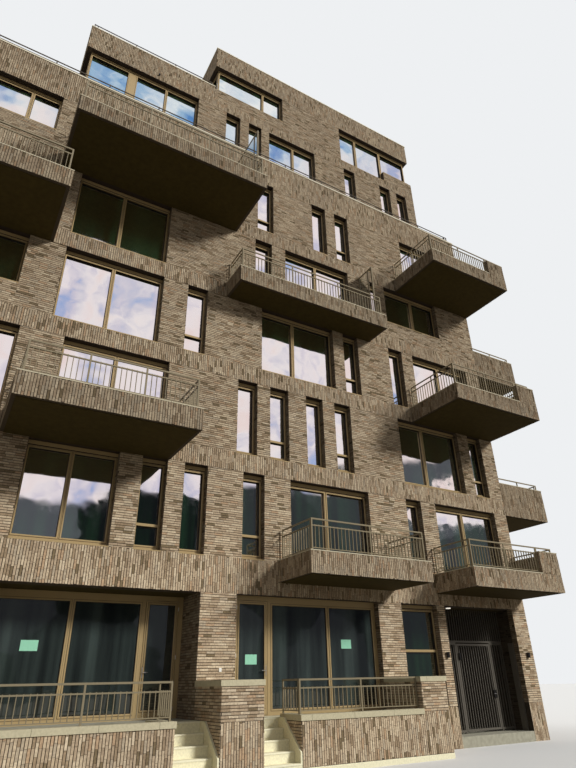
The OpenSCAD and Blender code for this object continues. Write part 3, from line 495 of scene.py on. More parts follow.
def mortar():
    """Raked lime mortar behind the bricks: dark and gritty, with grit of some 10 mm, as coarse as it needs to
    show."""
    material, tree, shader = new_material("raked_lime_mortar", Roughness=0.95)
    place = add_node(tree, "ShaderNodeTexCoord").outputs["Object"]
    grit = add_node(tree, "ShaderNodeTexNoise", {"Vector": place, "Scale": 90.0, "Detail": 4.0})
    base = bpy.context.scene.bricks.mortar
    tint = add_node(tree, "ShaderNodeValToRGB", {"Fac": grit.outputs["Fac"]},
                    [(0.3, shade(base, 0.75)), (0.7, shade(base, 1.2))])
    tree.links.new(tint.outputs["Color"], shader.inputs["Base Color"])
    return material


def rear_brick():
    """Facing brick drawn in the shader, for the rear wall: courses of 62.5 mm, and bricks every 222.5 mm with
    joints of 6 mm, as matt as the laid ones."""
    material, tree, shader = new_material("rear_facing_brick", Roughness=0.92)
    place = add_node(tree, "ShaderNodeTexCoord").outputs["Object"]
    split = add_node(tree, "ShaderNodeSeparateXYZ", {"Vector": place})
    flat = add_node(tree, "ShaderNodeCombineXYZ", {"X": split.outputs["X"], "Y": split.outputs["Z"]})
    bricks = add_node(tree, "ShaderNodeTexBrick",
                      {"Vector": flat.outputs["Vector"], "Color1": (0, 0, 0, 1), "Color2": (1, 1, 1, 1),
                       "Mortar": (0, 0, 0, 1), "Scale": 1.0, "Mortar Size": 0.006, "Mortar Smooth": 0.1,
                       "Brick Width": 0.2225, "Row Height": 0.0625})
    tones = add_node(tree, "ShaderNodeValToRGB", {"Fac": bricks.outputs["Color"]}, BRICK_TONES)
    joint = (*bpy.context.scene.bricks.mortar, 1)
    mixed = add_node(tree, "ShaderNodeMix",
                     {"Factor": bricks.outputs["Fac"], "A": tones.outputs["Color"], "B": joint},
                     data_type="RGBA")
    tint = painted_height_shade(tree, place, mixed.outputs["Result"])
    surface(tree, shader, tint, bricks.outputs["Fac"], 0.6, 0.006, invert=True)
    return material


def grained(name, base, roughness, metallic=0.0, grain=40.0, vary=0.15, joints=0.0, **more):
    """A finish with a slight change of tone and a surface grain. Grain is repeats per metre, and coarser than
    real grit and streaks, which are too fine to show. Joints is the distance in metres between dark lines
    across the length."""
    material, tree, shader = new_material(name, Roughness=roughness, Metallic=metallic, **more)
    place = add_node(tree, "ShaderNodeTexCoord").outputs["Object"]
    noise = add_node(tree, "ShaderNodeTexNoise", {"Vector": place, "Scale": grain, "Detail": 5.0})
    base = linear(base) if isinstance(base, str) else base
    tint = add_node(tree, "ShaderNodeValToRGB", {"Fac": noise.outputs["Fac"]},
                    [(0.3, shade(base, 1 - vary)), (0.7, shade(base, 1 + vary))]).outputs["Color"]
    if joints:
        joint = 0.008  # width of a line
        split = add_node(tree, "ShaderNodeSeparateXYZ", {"Vector": place})
        near = add_node(tree, "ShaderNodeMath", {0: split.outputs["X"], 1: joints / 2}, operation="PINGPONG")
        line = add_node(tree, "ShaderNodeMath", {0: near.outputs["Value"], 1: joint / 2},
                        operation="LESS_THAN")
        tint = add_node(tree, "ShaderNodeMix",
                        {"Factor": line.outputs["Value"], "A": tint, "B": shade(base, 0.25)},
                        data_type="RGBA").outputs["Result"]
    surface(tree, shader, tint, noise.outputs["Fac"], 0.2, 0.002)
    return material


def balcony_deck():
    """Concrete slabs whose undersides are covered with stained boards: dark and matt below, with a tone that
    changes over 0.1 m, while the face that looks up stays pale and bare."""
    material, tree, shader = new_material("boarded_concrete_deck",
                                          **{"Roughness": 0.85, "Specular IOR Level": 0.2})
    place = add_node(tree, "ShaderNodeTexCoord").outputs["Object"]
    grain = add_node(tree, "ShaderNodeTexNoise", {"Vector": place, "Scale": 8.0, "Detail": 5.0})
    board, slab = [add_node(tree, "ShaderNodeValToRGB", {"Fac": grain.outputs["Fac"]},
                            [(0.3, rgba(low)), (0.7, rgba(high))]).outputs["Color"]
                   for low, high in (("#3e3518", "#483e1c"), ("#8d8979", "#a19d8c"))]
    normal = add_node(tree, "ShaderNodeNewGeometry").outputs["Normal"]
    up = add_node(tree, "ShaderNodeSeparateXYZ", {"Vector": normal}).outputs["Z"]
    floor = add_node(tree, "ShaderNodeMath", {0: up, 1: 0.5}, operation="GREATER_THAN")
    mixed = add_node(tree, "ShaderNodeMix", {"Factor": floor.outputs["Value"], "A": board, "B": slab},
                     data_type="RGBA")
    surface(tree, shader, mixed.outputs["Result"], grain.outputs["Fac"], 0.2, 0.002)
    return material


def coated_glass(name, code, ior):
    """Toughened insulating glass. Its coating mirrors the surroundings, which a high IOR stands for, and it
    shows only the dark room behind. Rollers leave toughened panes slightly wavy over 1.2 m, and rain leaves a
    thin film in patches of 0.2 m."""
    material, tree, shader = new_material(name, IOR=ior)
    place = add_node(tree, "ShaderNodeTexCoord").outputs["Object"]
    wave = add_node(tree, "ShaderNodeTexNoise", {"Vector": place, "Scale": 0.8, "Detail": 1.5})
    film = add_node(tree, "ShaderNodeTexNoise", {"Vector": place, "Scale": 5.0, "Detail": 6.0})
    # Folds and edges of curtains in the dark room, some 0.4 m wide and hanging straight down
    drop = add_node(tree, "ShaderNodeVectorMath", {0: place, 1: (2.4, 2.4, 0.1)}, operation="MULTIPLY")
    folds = add_node(tree, "ShaderNodeTexNoise",
                     {"Vector": drop.outputs["Vector"], "Scale": 1.0, "Detail": 4.0})
    base = linear(code)
    tint = add_node(tree, "ShaderNodeValToRGB", {"Fac": folds.outputs["Fac"]},
                    [(0.38, shade(base, 0.25)), (0.5, shade(base, 1)), (0.62, shade(base, 1.9))])
    haze = add_node(tree, "ShaderNodeValToRGB", {"Fac": film.outputs["Fac"]},
                    [(0.4, (0.02, 0.02, 0.02, 1)), (0.8, (0.07, 0.07, 0.07, 1))])
    tree.links.new(haze.outputs["Color"], shader.inputs["Roughness"])
    surface(tree, shader, tint.outputs["Color"], wave.outputs["Fac"], 1.0, 0.012)
    return material


def bronze_frames():
    """Anodised aluminium in a bronze tone: a satin metal whose drawn profiles show faint streaks."""
    name, tone = "anodised_aluminium_bronze", bpy.context.scene.metals.bronze
    return bpy.data.materials.get(name) or grained(name, tone, 0.45, 0.25, grain=120.0, vary=0.05)


def pale_floor():
    """Painted studio floor. It looks pale, but throws back only as much light as a darker one does."""
    material, tree, shader = new_material("pale_floor", Roughness=0.9)
    path = add_node(tree, "ShaderNodeLightPath")
    seen = add_node(tree, "ShaderNodeMix",
                    {"Factor": path.outputs["Is Camera Ray"], "A": rgba("#7d776b"), "B": rgba("#d9d8d4")},
                    data_type="RGBA")
    tree.links.new(seen.outputs["Result"], shader.inputs["Base Color"])
    return material


def surroundings(fill):
    """Pale surroundings. Mirrors show bright patches instead, blue between them near the zenith, over a dark
    band whose upper edge steps up and down."""
    world = bpy.data.worlds.new("studio")
    world.use_nodes = True
    tree = world.node_tree
    tree.nodes.clear()
    way = add_node(tree, "ShaderNodeTexCoord").outputs["Generated"]
    height = add_node(tree, "ShaderNodeSeparateXYZ", {"Vector": way}).outputs["Z"]
    patch = add_node(tree, "ShaderNodeTexNoise",
                     {"Vector": way, "Scale": 9.5, "Detail": 8.0, "Roughness": 0.62, "Distortion": 0.6})
    bright, clear = [
        add_node(tree, "ShaderNodeValToRGB", {"Fac": patch.outputs["Fac"]},
                 [(position, rgba(code)) for position, code in stops]).outputs["Color"]
        for stops in (((0.34, "#a9bae6"), (0.42, "#ddd5e6"), (0.49, "#fff4f6"), (0.60, "#ffe9e6")),
                      ((0.40, "#5d8fcf"), (0.47, "#9dbfe2"), (0.54, "#dbe7f3"), (0.64, "#ffffff")))]
    zenith = add_node(tree, "ShaderNodeMapRange", {"Value": height, "From Min": 0.72, "From Max": 0.78})
    above = add_node(tree, "ShaderNodeMix", {"Factor": zenith.outputs["Result"], "A": bright, "B": clear},
                     data_type="RGBA")
    # Square cells lift the height by up to a third, and the band ends where the sum passes 0.42
    steps = add_node(tree, "ShaderNodeTexVoronoi", {"Vector": way, "Scale": 4.2}, distance="CHEBYCHEV")
    lifted = add_node(tree, "ShaderNodeMath", {0: steps.outputs["Color"], 1: 0.32, 2: height},
                      operation="MULTIPLY_ADD")
    edge = add_node(tree, "ShaderNodeMapRange",
                    {"Value": lifted.outputs["Value"], "From Min": 0.42, "From Max": 0.43})
    blocks = add_node(tree, "ShaderNodeTexVoronoi", {"Vector": way, "Scale": 5.0})
    band = add_node(tree, "ShaderNodeValToRGB", {"Fac": blocks.outputs["Color"]},
                    [(0.25, rgba("#131517")), (0.75, rgba("#56585e"))])
    mirror = add_node(tree, "ShaderNodeMix",
                      {"Factor": edge.outputs["Result"], "A": band.outputs["Color"],
                       "B": above.outputs["Result"]}, data_type="RGBA")
    path = add_node(tree, "ShaderNodeLightPath")
    # What lights the part, what its mirrors show, and what the camera sees behind it
    shown = ((rgba("#f2f3f5"), fill), (mirror.outputs["Result"], 1.08), (rgba("#eef0f2"), 1.0))
    lit, mirrored, seen = [
        add_node(tree, "ShaderNodeBackground", {"Color": tint, "Strength": power}).outputs["Background"]
        for tint, power in shown]
    glossy = add_node(tree, "ShaderNodeMixShader", {0: path.outputs["Is Glossy Ray"], 1: lit, 2: mirrored})
    mixed = add_node(tree, "ShaderNodeMixShader",
                     {0: path.outputs["Is Camera Ray"], 1: glossy.outputs["Shader"], 2: seen})
    add_node(tree, "ShaderNodeOutputWorld", {"Surface": mixed.outputs["Shader"]})
    return world


def paint(nodes, material):
    """Gives CAD nodes a material of their own."""
    for name in nodes:
        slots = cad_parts[name].data.materials
        slots.clear()
        slots.append(material)


# Operators

class BLOCK_OT_stage(Operator):
    """Sets the floor, the light and the camera"""
    bl_idname = "block.stage"
    bl_label = "Studio"

    FLOOR_HALF = 150.0  # half the floor's side
    # The camera stands 14.25 m in front of the wall at eye height, and looks up to the right
    PLACE, ANGLES = (-6.805, -14.25, 1.78), (118.026, 1.128, -30.354)
    SENSOR, LENS, SHIFT = 36.0, 26.53, (-0.0036, -0.0034)
    # Each sun's strength comes from the settings. This is its width, its tilt and its turn, in degrees.
    KEY, BACK_LIGHT = (12, 62, 38), (40, 50, 200)

    def execute(self, context):
        scene = context.scene
        scene.view_settings.view_transform = "Standard"
        scene.camera = self.camera()
        # A soft sun from the front right, and a weaker and wider light for the far sides
        self.sun("key", scene.stage.key, *self.KEY)
        self.sun("back", scene.stage.back, *self.BACK_LIGHT)
        scene.world = surroundings(scene.stage.fill)
        half = self.FLOOR_HALF
        mesh = bpy.data.meshes.new("floor")
        mesh.from_pydata([(-half, -half, 0), (half, -half, 0), (half, half, 0), (-half, half, 0)], [],
                         [(0, 1, 2, 3)])
        mesh.materials.append(pale_floor())
        add_object("floor", mesh)
        return {"FINISHED"}

    def camera(self):
        """Makes the photograph's camera."""
        lens = bpy.data.cameras.new("camera")
        lens.sensor_width, lens.lens = self.SENSOR, self.LENS
        lens.shift_x, lens.shift_y = self.SHIFT
        lens.clip_end = 500
        made = add_object("camera", lens)
        made.location = self.PLACE
        made.rotation_euler = Euler([math.radians(a) for a in self.ANGLES])
        return made

    def sun(self, name, energy, spread, tilt, turn):
        """A distant lamp that mirrors don't show."""
        lamp = bpy.data.lights.new(name, "SUN")
        lamp.energy, lamp.angle = energy, math.radians(spread)
        made = add_object(name, lamp)
        made.rotation_euler = Euler((math.radians(tilt), 0, math.radians(turn)))
        made.visible_glossy = False


class BLOCK_OT_walls(Operator):
    """Gives the walls, floors and concrete their materials"""
    bl_idname = "block.walls"
    bl_label = "Walls and concrete"

    # Sections: out of the wall or the riser, and up from its foot or its head
    STRIP = [(0, 0), (0.018, 0), (0.018, PLINTH - 0.008), (0.010, PLINTH), (0, PLINTH)]
    NOSING = [(0, -0.035), (0.012, -0.035), (0.012, -0.006), (0.006, 0), (0, 0)]

    def execute(self, context):
        paint(["front_piers", "front_bands", "window_aprons", "side_piers", "side_bands", "inner_walls",
               "upper_piers", "upper_bands", "parapets", "balcony_fronts", "balcony_sides", "balcony_wings",
               "terrace_walls"], mortar())
        paint(["rear_piers", "rear_bands"], rear_brick())
        # Pressed concrete blocks with an open, matt face
        paint(["party_wall"], grained("party_wall_blockwork", "#8d877b", 0.9, grain=12.0))
        # Cast in forms: grey, matt and cloudy
        paint(["ground_floor", "floor_slabs"], grained("cast_concrete", "#9b9785", 0.85, grain=9.0))
        # Cast face down on steel, with white cement: pale cream and even
        precast = grained("precast_concrete", "#e0d9b8", 0.8, grain=25.0, vary=0.1)
        paint(["entrance_steps", "terrace_decks"], precast)
        # The same, weathered, in pieces of 1.2 m
        coping = grained("precast_coping", "#b4ab8e", 0.8, grain=25.0, vary=0.1, joints=1.2)
        paint(["terrace_copings"], coping)
        # Coated sheet metal, folded over the parapet in lengths of 2.4 m: smooth, pale and even
        folded = grained("aluminium_coping", "#d6cdb6", 0.6, grain=15.0, vary=0.06, joints=2.4)
        paint(["parapet_copings"], folded)
        # Coated sheet metal in lengths of 1.5 m, a little duller
        capping = grained("balcony_capping", "#b5ab92", 0.6, grain=15.0, vary=0.06, joints=1.5)
        paint(["balcony_cappings"], capping)
        # Pressed paving slabs of 0.5 m on the roofs: grey and rough
        paint(["roof_slabs"], grained("roof_paving", "#77736a", 0.9, grain=6.0, joints=0.5))
        paint(["balcony_decks"], balcony_deck())
        # Fibre cement boards with a dark stain: matt and nearly even
        board = grained("stained_soffit_board", "#43391a", 0.85, grain=8.0, **{"Specular IOR Level": 0.2})
        paint(["soffit_panels"], board)
        # Pale strips under the terrace walls, away from the party wall
        feet = [(way, facing("terrace_walls", way)) for way in (FRONT, RIGHT, LEFT)]
        shape_piece("terrace_plinths",
                    [bars(rows[(rows[:, 3] < APART) & (rows[:, 0] > APART - HALF)], way, self.STRIP)
                     for way, rows in feet], precast, slot="concrete")
        # Nosings on the steps, smoothed with a trowel and closer than the tread, and paler as a painted
        # highlight on the steps' lit edges
        trowelled = grained("trowelled_nosing", "#e2dcbe", 0.7, grain=40.0, vary=0.06)
        treads = np.concatenate([facing("entrance_steps", FRONT), facing("terrace_decks", FRONT)])
        treads = np.array([[y, max(low, left), min(high, right), head, head] for left, right in STAIRS
                           for y, low, high, _, head in treads if min(high, right) - max(low, left) > 0.5])
        shape_piece("step_nosings", [bars(treads, FRONT, self.NOSING)], trowelled, slot="concrete")
        return {"FINISHED"}


class BLOCK_OT_bricks(Operator):
    """Lays the facing bricks on the walls, balconies and terraces"""
    bl_idname = "block.bricks"
    bl_label = "Facing bricks"

    def execute(self, context):
        size = context.scene.bricks
        rng = np.random.default_rng(SEED)
        # One clay in five copies, the darker ones painted shade: the deeper a wall lies in the shade, the
        # darker its bricks are painted
        brick, shaded = clay_brick("facing_brick", 1.0), clay_brick("balcony_facing_brick_painted_shade", 0.72)
        low_brick = clay_brick("terrace_facing_brick_painted_shade", 0.96)
        reveal_brick = clay_brick("reveal_facing_brick_painted_shade", 0.5)

        def wall(nodes, way, plane, upright, clip=None):
            """Runs of bricks on the faces of some nodes in one plane."""
            return [lay(facing(n, way, plane), way, upright, rng, size, clip) for n in nodes]

        # Level courses on the piers, upright bricks on the bands and at the foot beside the gate
        gate_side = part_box("terrace_walls")[1].x
        fronts, uppers = ["front_piers", "window_aprons"], ["upper_piers", "window_aprons"]
        brickwork("front_wall_bricks", wall(fronts, FRONT, 0, False, [-HALF, HALF, DECK, BEYOND])
                  + wall(fronts, FRONT, 0, True, [gate_side, HALF, 0, DECK]), brick)
        brickwork("front_band_bricks", wall(["front_bands", "parapets"], FRONT, 0, True), brick)
        brickwork("upper_wall_bricks", wall(uppers, FRONT, SETBACK, False)
                  + wall(["upper_bands", "parapets"], FRONT, SETBACK, True), brick)
        ends = ["front_piers", "side_piers", "rear_piers", "upper_piers", "window_aprons"]
        brickwork("side_wall_bricks", wall(ends, RIGHT, HALF, False), brick)
        ends = ["front_bands", "side_bands", "rear_bands", "upper_bands", "parapets"]
        brickwork("side_band_bricks", wall(ends, RIGHT, HALF, True), brick)
        lefts = [wall(uppers, LEFT, left, False) + wall(["upper_bands", "parapets"], LEFT, left, True)
                 for left in (UPPER_LEFT, TOP_LEFT)]
        brickwork("upper_left_bricks", sum(lefts, []), brick)
        # A parapet's wall starts below the roof, and its inner side shows above it
        outer = np.array([HALF, UPPER_LEFT, TOP_LEFT, -HALF])
        backs = []
        for way in (BACK, RIGHT, LEFT):
            rows = facing("parapets", way)
            rows = rows[np.abs(rows[:, :1] - outer).min(1) > APART]
            inner = (np.abs(rows[:, 3] - ROOF_DECKS[:, None]).min(0) > APART) & (rows[:, 0] < REAR - APART)
            rows[inner, 3] += HEAD
            backs.append(lay(rows, way, True, rng, size))
        brickwork("parapet_back_bricks", backs, brick)
        # The balcony bricks use the copy darkened to 0.72 as painted shade
        brickwork("balcony_bricks",
                  [lay(above_decks(facing(n, way), way), way, True, rng, size,
                       pale_foot=n == "balcony_fronts" and way == FRONT)
                   for n in ("balcony_fronts", "balcony_sides", "balcony_wings")
                   for way in (LEFT, RIGHT, FRONT, BACK)], shaded)
        # The terrace walls have upright bricks up to the deck and level courses above, from y -2 to 0
        foot = PLINTH + APART
        parts = (wall(["terrace_walls"], FRONT, None, True, [-HALF, HALF, foot, DECK])
                 + wall(["terrace_walls"], FRONT, None, False, [-HALF, HALF, DECK, BEYOND]))
        for way in (LEFT, RIGHT):
            rows = facing("terrace_walls", way)
            parts.append(lay(rows[rows[:, 0] > APART - HALF], way, False, rng, size, [-2, 0, foot, BEYOND]))
        # The terrace bricks use the copy darkened to 0.96 as painted shade
        brickwork("terrace_bricks", parts, low_brick)
        # Window reveals are the piers' sides, without the building's own corners, laid in bricks darkened to
        # half as painted shade
        parts = []
        for way in (LEFT, RIGHT):
            for node, start in (("front_piers", 0), ("upper_piers", SETBACK)):
                rows = facing(node, way)
                rows = rows[np.abs(rows[:, :1] - outer).min(1) > APART]
                parts.append(lay(rows, way, False, rng, size, [start, start + REVEAL, DECK, BEYOND]))
        brickwork("reveal_bricks", parts, reveal_brick)
        # The loggia's side walls and the passage behind its gate, in bricks darkened as painted shade: to
        # half in the loggia, nearly to black in the passage
        clip = [REVEAL, LOGGIA_DEPTH, DECK, BEYOND]
        parts = [wall(["front_piers", "inner_walls"], way, x, False, clip)
                 for x, way in zip(LOGGIA, (RIGHT, LEFT))]
        brickwork("loggia_bricks", sum(parts, []), reveal_brick)
        clip = [REVEAL, PASSAGE_DEPTH, PASSAGE_FLOOR, BEYOND]
        parts = [wall(["front_piers", "inner_walls", "side_piers"], way, x, False, clip)
                 for x, way in zip(PASSAGE, (RIGHT, LEFT))]
        clip = [0, REVEAL, PASSAGE_FLOOR, DECK]
        parts += [wall(["front_piers"], way, x, True, clip) for x, way in zip(PASSAGE, (RIGHT, LEFT))]
        brickwork("passage_bricks", sum(parts, []), clay_brick("passage_facing_brick_painted_shade", 0.12))
        return {"FINISHED"}


class BLOCK_OT_metal(Operator):
    """Gives frames, railings, gate and glass their finishes"""
    bl_idname = "block.metal"
    bl_label = "Metal and glass"

    def execute(self, context):
        tones = context.scene.metals
        paint(["front_frames", "side_and_rear_frames", "garden_posts", "garden_rails", "loggia_door",
               "terrace_door"], bronze_frames())
        # The upper panes mirror strongly, and the garden fronts let the room show
        paint(["front_glass", "side_and_rear_glass"], coated_glass("coated_glass", "#1d3824", 12.0))
        paint(["garden_glass", "loggia_door_glass", "terrace_door_glass"],
              coated_glass("garden_glass", "#272e2b", 2.1))
        # Galvanised and powder-coated: an even, satin skin with a faint orange peel
        coated = grained("powder_coated_steel", tones.railing, 0.5, 0.1, grain=200.0, vary=0.06)
        paint(["balcony_rails", "balcony_side_rails", "terrace_rails", "privacy_screens"], coated)
        dark = grained("dark_powder_coated_steel", tones.roof_rail, 0.5, 0.1, grain=200.0, vary=0.06)
        paint(["parapet_rails"], dark)
        paint(["gate_screen", "gate_leaf"], grained("gate_powder_coat", tones.gate, 0.45, 0.2, grain=200.0))
        paint(["lamps"], grained("lamp_powder_coat", "#1d1c1d", 0.5, 0.1, grain=200.0))
        return {"FINISHED"}


class BLOCK_OT_joinery(Operator):
    """Makes the sashes, gaskets, vents, sills and lintel plates of the windows, with dark strips that paint
    the shade in the gaps round the sashes and under the heads
    """
    bl_idname = "block.joinery"
    bl_label = "Window joinery"

    # Profiles round a pane: in from its edge and out of the frame's face
    SASH = [(-0.038, 0), (-0.038, 0.009), (-0.034, 0.012), (-0.008, 0.012), (0, 0.008), (0, -0.05)]
    GASKET = [(0, -0.048), (0.010, -0.052), (0.010, -0.068)]
    # A flat dark strip in the gap outside each sash: painted shade
    SHADOW_GAP = [(-0.046, 0), (-0.046, 0.0015), (-0.038, 0.0015)]
    # Sections along a window: out of the frame's face, and up from its head or its foot
    VENT = [(0, -0.104), (0.010, -0.104), (0.014, -0.098), (0.014, -0.004), (0, 0)]
    VENT_SLOT = [(0, -0.130), (0.002, -0.130), (0.002, -0.104), (0, -0.104)]
    NOSE = REVEAL + 0.013
    SILL = [(0, 0.003), (NOSE - 0.004, -0.017), (NOSE, -0.017), (NOSE, 0.008), (0, 0.028)]
    # A dark lintel plate under each head, which also stands in as painted shade in the head recess
    LINTEL = [(0, -0.010), (REVEAL + 0.008, -0.010), (REVEAL + 0.008, 0), (0, 0)]
    # The dark joint at the foot of a brick band
    BAND_JOINT = [(0, -0.005), (0.009, -0.005), (0.009, 0.006), (0, 0.006)]

    def execute(self, context):
        walls = [("front_frames", "front_glass", FRONT)] + [
            ("side_and_rear_frames", "side_and_rear_glass", way) for way in (RIGHT, LEFT, BACK)]
        sashes, seals_and_shadow_gaps, vents, sills, plates = [], [], [], [], []
        for frames, glass, way in walls:
            holes, panes = windows(frames, glass, way)
            heads, feet = holes[:, [0, 1, 2, 4]], holes[:, [0, 1, 2, 3]]
            sashes.append(rings(panes, way, self.SASH))
            seals_and_shadow_gaps += [rings(panes, way, self.GASKET), rings(panes, way, self.SHADOW_GAP),
                        bars(heads, way, self.VENT_SLOT)]
            vents.append(bars(heads, way, self.VENT))
            sills.append(bars(feet, way, self.SILL))
            plates.append(bars(heads, way, self.LINTEL))
        bronze = bronze_frames()
        # Extruded rubber and dark-coated plates: nearly black and dull. On the lintel plates and the strips
        # in the gaps round the sashes, the dark is also painted shade.
        rubber = grained("dark_rubber_and_painted_shade", context.scene.metals.dark_bronze, 0.7, grain=200.0)
        shape_piece("window_sashes", sashes, bronze, slot="frame")
        shape_piece("window_seals_and_shadow_gaps", seals_and_shadow_gaps, rubber, slot="frame")
        shape_piece("window_vents", vents, bronze, slot="frame")
        shape_piece("window_sills", sills, bronze, slot="frame")
        shape_piece("lintel_plates_and_painted_shade", plates, rubber, slot="frame")
        bands = np.concatenate([facing("front_bands", FRONT, 0), facing("upper_bands", FRONT, SETBACK)])
        shape_piece("band_joints", [bars(bands, FRONT, self.BAND_JOINT)], rubber, slot="brick")
        # The same trim on the garden fronts and the two doors. Each door's own trim moves with the door.
        for name, depth, body in (("garden", 0.025, BUILDING), ("loggia_door", 0.020, "loggia_door_leaf"),
                                  ("terrace_door", 0.020, "terrace_door_leaf")):
            rows = facing(f"{name}_glass", FRONT)
            rows[:, 0] -= depth
            sash = [(inset, out if out >= 0 else -depth) for inset, out in self.SASH]
            gasket = [(0, -0.004), (0.010, -0.008), (0.010, 0.001 - depth)]
            shape_piece(f"{name}_sashes", [rings(rows, FRONT, sash)], bronze, body, "frame")
            shape_piece(f"{name}_gaskets", [rings(rows, FRONT, gasket), rings(rows, FRONT, self.SHADOW_GAP)], rubber,
                        body, "frame")
        return {"FINISHED"}


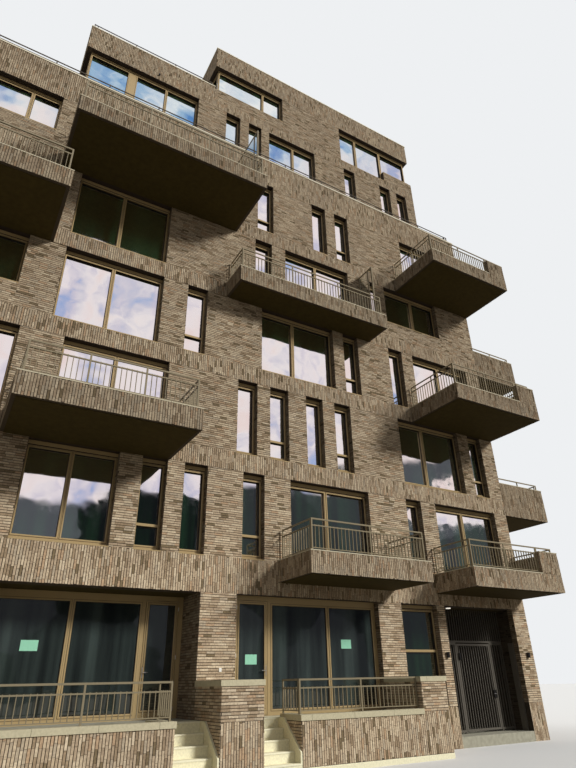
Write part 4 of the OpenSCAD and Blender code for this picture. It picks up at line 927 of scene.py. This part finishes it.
class BLOCK_OT_fittings(Operator):
    """Makes the handles, hinge covers, lamps, plates and labels"""
    bl_idname = "block.fittings"
    bl_label = "Fittings"

    STILE, GLASS_BACK = 0.085, 0.020   # width of a door's upright, and from its face back to its glass
    HANDLE_HEIGHT, LOCK_DROP = 1.010, 0.075   # the lever above the floor, and the lock below the lever
    HANDLE_PLATE = (0.042, 0.0095, 0.242)     # width, depth and height of the plate behind the lever
    SEAT = 0.008                       # lever, rose and lock start inside the plate, this far from the leaf
    LEVER_RADIUS, GRIP_RADIUS = 0.0095, 0.010
    HINGE_LENGTH, HINGE_END = 0.094, 0.18     # a cover's length, and from the leaf's ends to the outer hinges
    HINGE_IN, HINGE_OUT = 0.008, 0.014        # a cover's axis in from the leaf's edge and out of its face
    # Turned parts: radius and distance along the axis
    ROSE = [(0.018, 0), (0.018, 0.006), (0.015, 0.009), (0.012, 0.009)]
    LOCK = [(0.013, 0), (0.013, 0.005), (0.010, 0.008)]
    HINGE_COVER = [(0.0085, 0), (0.0098, 0.002), (0.0098, HINGE_LENGTH - 0.002), (0.0085, HINGE_LENGTH)]
    RIM = [(0.040, -0.008), (0.052, -0.008), (0.052, 0.008), (0.040, 0.008)]
    DIFFUSER = [(0.075, 0), (0.082, 0.004), (0.082, 0.014), (0.070, 0.022), (0.03, 0.025)]
    # Labels on the panes: name, two x, two z, plane of the pane and body
    LABELS = (("loggia", (-4.925, -4.542), (2.54, 2.77), 1.195, BUILDING),
              ("terrace_door", (0.328, 0.661), (2.21, 2.44), 0.220, "terrace_door_leaf"),
              ("terrace", (3.342, 3.687), (2.60, 2.83), 0.225, BUILDING))
    LAMPS = (18.235, 21.91)            # the wall lamps' places, from the left end of the front
    LAMP_OUT, LAMP_ENDS = 0.060, (2.37, 2.51)   # their axis in front of the wall, and their rims' heights
    LIGHT = (7.876, 0.42)              # the passage light's place on the ceiling
    # Plates as two x, two y and two z. Those on the gate's leaf have their y from the leaf's face.
    BELLS = ((-0.491, -0.421), (-0.024, 0.0), (2.044, 2.131))
    CLOSER = ((8.315, 8.395), (-0.055, 0.0), (2.33, 2.53))
    LOCK_CASE = ((9.660, 9.790), (-0.040, 0.0), (1.22, 1.44))
    # The gate's handle comes forward from the lock case, bends and points to the left
    GRIP = [(9.725, -0.040), (9.725, -0.075), (9.700, -0.090), (9.610, -0.090)]
    GRIP_HEIGHT = 1.33

    def execute(self, context):
        # Brushed along the bar: bright metal with fine streaks
        tone = context.scene.metals.steel
        steel = grained("brushed_stainless_steel", tone, 0.35, 0.9, grain=300.0, vary=0.05)
        # Injection-moulded: smooth and off-white
        white = grained("white_moulded_plastic", "#dcd9d0", 0.5, grain=150.0, vary=0.04)
        # Die-cast and painted: nearly black, with a fine texture
        dark = grained("die_cast_housing", "#191817", 0.5, grain=150.0)
        self.door("loggia_door", "loggia_door_leaf", 1, steel, white)
        self.door("terrace_door", "terrace_door_leaf", -1, steel, white)
        # Plain labels of uncoated paper: matt green
        label = grained("paper_label", "#8cc4a6", 0.6, grain=30.0, vary=0.05)
        for name, x, z, y, body in self.LABELS:
            shape_piece(f"{name}_label", [plate(x, (y - 0.002, y), z, 0.0005)], label, body, "glass")
        shape_piece("bell_plate", [plate(*self.BELLS)], white, slot="coping")
        rims = [lathe((x - HALF, -self.LAMP_OUT, z), (0, 0, 1), self.RIM, 32) for x in self.LAMPS
                for z in self.LAMP_ENDS]
        shape_piece("lamp_rims", rims, dark, slot="gate_paint")
        # Opal acrylic over a lamp: white, with a soft glow of its own
        light, _, _ = new_material("opal_acrylic_diffuser", **{
            "Base Color": rgba("#f1efe6"), "Roughness": 0.4, "Emission Color": rgba("#fff8ea"),
            "Emission Strength": 0.9})
        disc = lathe((*self.LIGHT, PASSAGE_HEAD), (0, 0, -1), self.DIFFUSER, 32)
        shape_piece("passage_light", [disc], light, slot="glass", smooth=True)
        self.gate(steel, dark)
        return {"FINISHED"}

    def door(self, node, body, turn, steel, white):
        """Handle and hinge covers of a garden door. A turn of 1 points the lever right, and -1 left."""
        hinge, latch = (1, 0) if turn > 0 else (0, 1)
        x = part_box(f"{node}_glass")[latch].x - turn * self.STILE / 2
        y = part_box(f"{node}_glass")[0].y - self.GLASS_BACK
        z = DECK + self.HANDLE_HEIGHT
        # The lever runs 40 mm straight out, round a quarter circle, and along the leaf to 125 mm
        bend, out = 0.016, 0.040
        angle = np.linspace(0, math.pi / 2, 6)[1:]
        curve = np.stack([bend * (1 - np.cos(angle)), out + bend * np.sin(angle)], 1)
        path = [[(0, self.SEAT), (0, out)], curve, [(0.060, 0.056), (0.125, 0.054)]]
        along, forward = np.concatenate(path).T
        lever = tube(np.stack([x + turn * along, y - forward, z + 0 * along], 1), self.LEVER_RADIUS)
        rose = lathe((x, y - self.SEAT, z), (0, -1, 0), self.ROSE)
        lock = lathe((x, y - self.SEAT, z - self.LOCK_DROP), (0, -1, 0), self.LOCK)
        shape_piece(f"{node}_handle_lever", [lever, rose, lock], steel, body, "frame", True)
        wide, deep, tall = self.HANDLE_PLATE
        backing = plate((x - wide / 2, x + wide / 2), (y - deep, y), (z - tall / 2, z + tall / 2), 0.001)
        shape_piece(f"{node}_handle_plate", [backing], steel, body, "frame")
        x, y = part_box(node)[hinge].x - turn * self.HINGE_IN, y - self.HINGE_OUT
        foot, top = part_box(node)[0].z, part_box(node)[1].z
        covers = [lathe((x, y, middle - self.HINGE_LENGTH / 2), (0, 0, 1), self.HINGE_COVER)
                  for middle in (foot + self.HINGE_END, (foot + top) / 2, top - self.HINGE_END)]
        shape_piece(f"{node}_hinge_covers", covers, white, body, "frame", True)

    def gate(self, steel, dark):
        """The closer, the lock case and the bent handle on the gate's leaf."""
        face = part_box("gate_leaf")[0].y
        for name, (x, y, z), soft in (("closer", self.CLOSER, 0.008), ("lock_case", self.LOCK_CASE, 0.006)):
            block = plate(x, (face + y[0], face + y[1]), z, soft)
            shape_piece(f"gate_{name}", [block], dark, "passage_gate", "gate_paint")
        grip = [(x, face + y, self.GRIP_HEIGHT) for x, y in self.GRIP]
        shape_piece("gate_handle", [tube(grip, self.GRIP_RADIUS)], steel, "passage_gate", "frame", True)


class BLOCK_PT_finish(Panel):
    """Lists the steps of the finish and their settings"""
    bl_label = "Apartment block"
    bl_space_type = "VIEW_3D"
    bl_region_type = "UI"
    bl_category = "Apartment block"

    def draw(self, context):
        for step in STEPS:
            self.layout.operator(step.bl_idname)
        for group in GROUPS:
            settings = getattr(context.scene, group)
            for name in settings.bl_rna.properties.keys():
                if name not in ("rna_type", "name"):
                    self.layout.prop(settings, name)


GROUPS = {"bricks": BrickSettings, "metals": MetalSettings, "stage": StageSettings}
STEPS = [BLOCK_OT_stage, BLOCK_OT_walls, BLOCK_OT_bricks, BLOCK_OT_metal, BLOCK_OT_joinery, BLOCK_OT_fittings]
CLASSES = [*GROUPS.values(), *STEPS, BLOCK_PT_finish]


def register():
    for item in CLASSES:
        bpy.utils.register_class(item)
    for name, group in GROUPS.items():
        setattr(bpy.types.Scene, name, PointerProperty(type=group))


def unregister():
    for name in GROUPS:
        delattr(bpy.types.Scene, name)
    for item in reversed(CLASSES):
        bpy.utils.unregister_class(item)


def main():
    """Runs every step."""
    register()
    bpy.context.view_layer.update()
    for step in STEPS:
        family, name = step.bl_idname.split(".")
        getattr(getattr(bpy.ops, family), name)()
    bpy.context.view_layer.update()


if __name__ == "__main__":
    main()
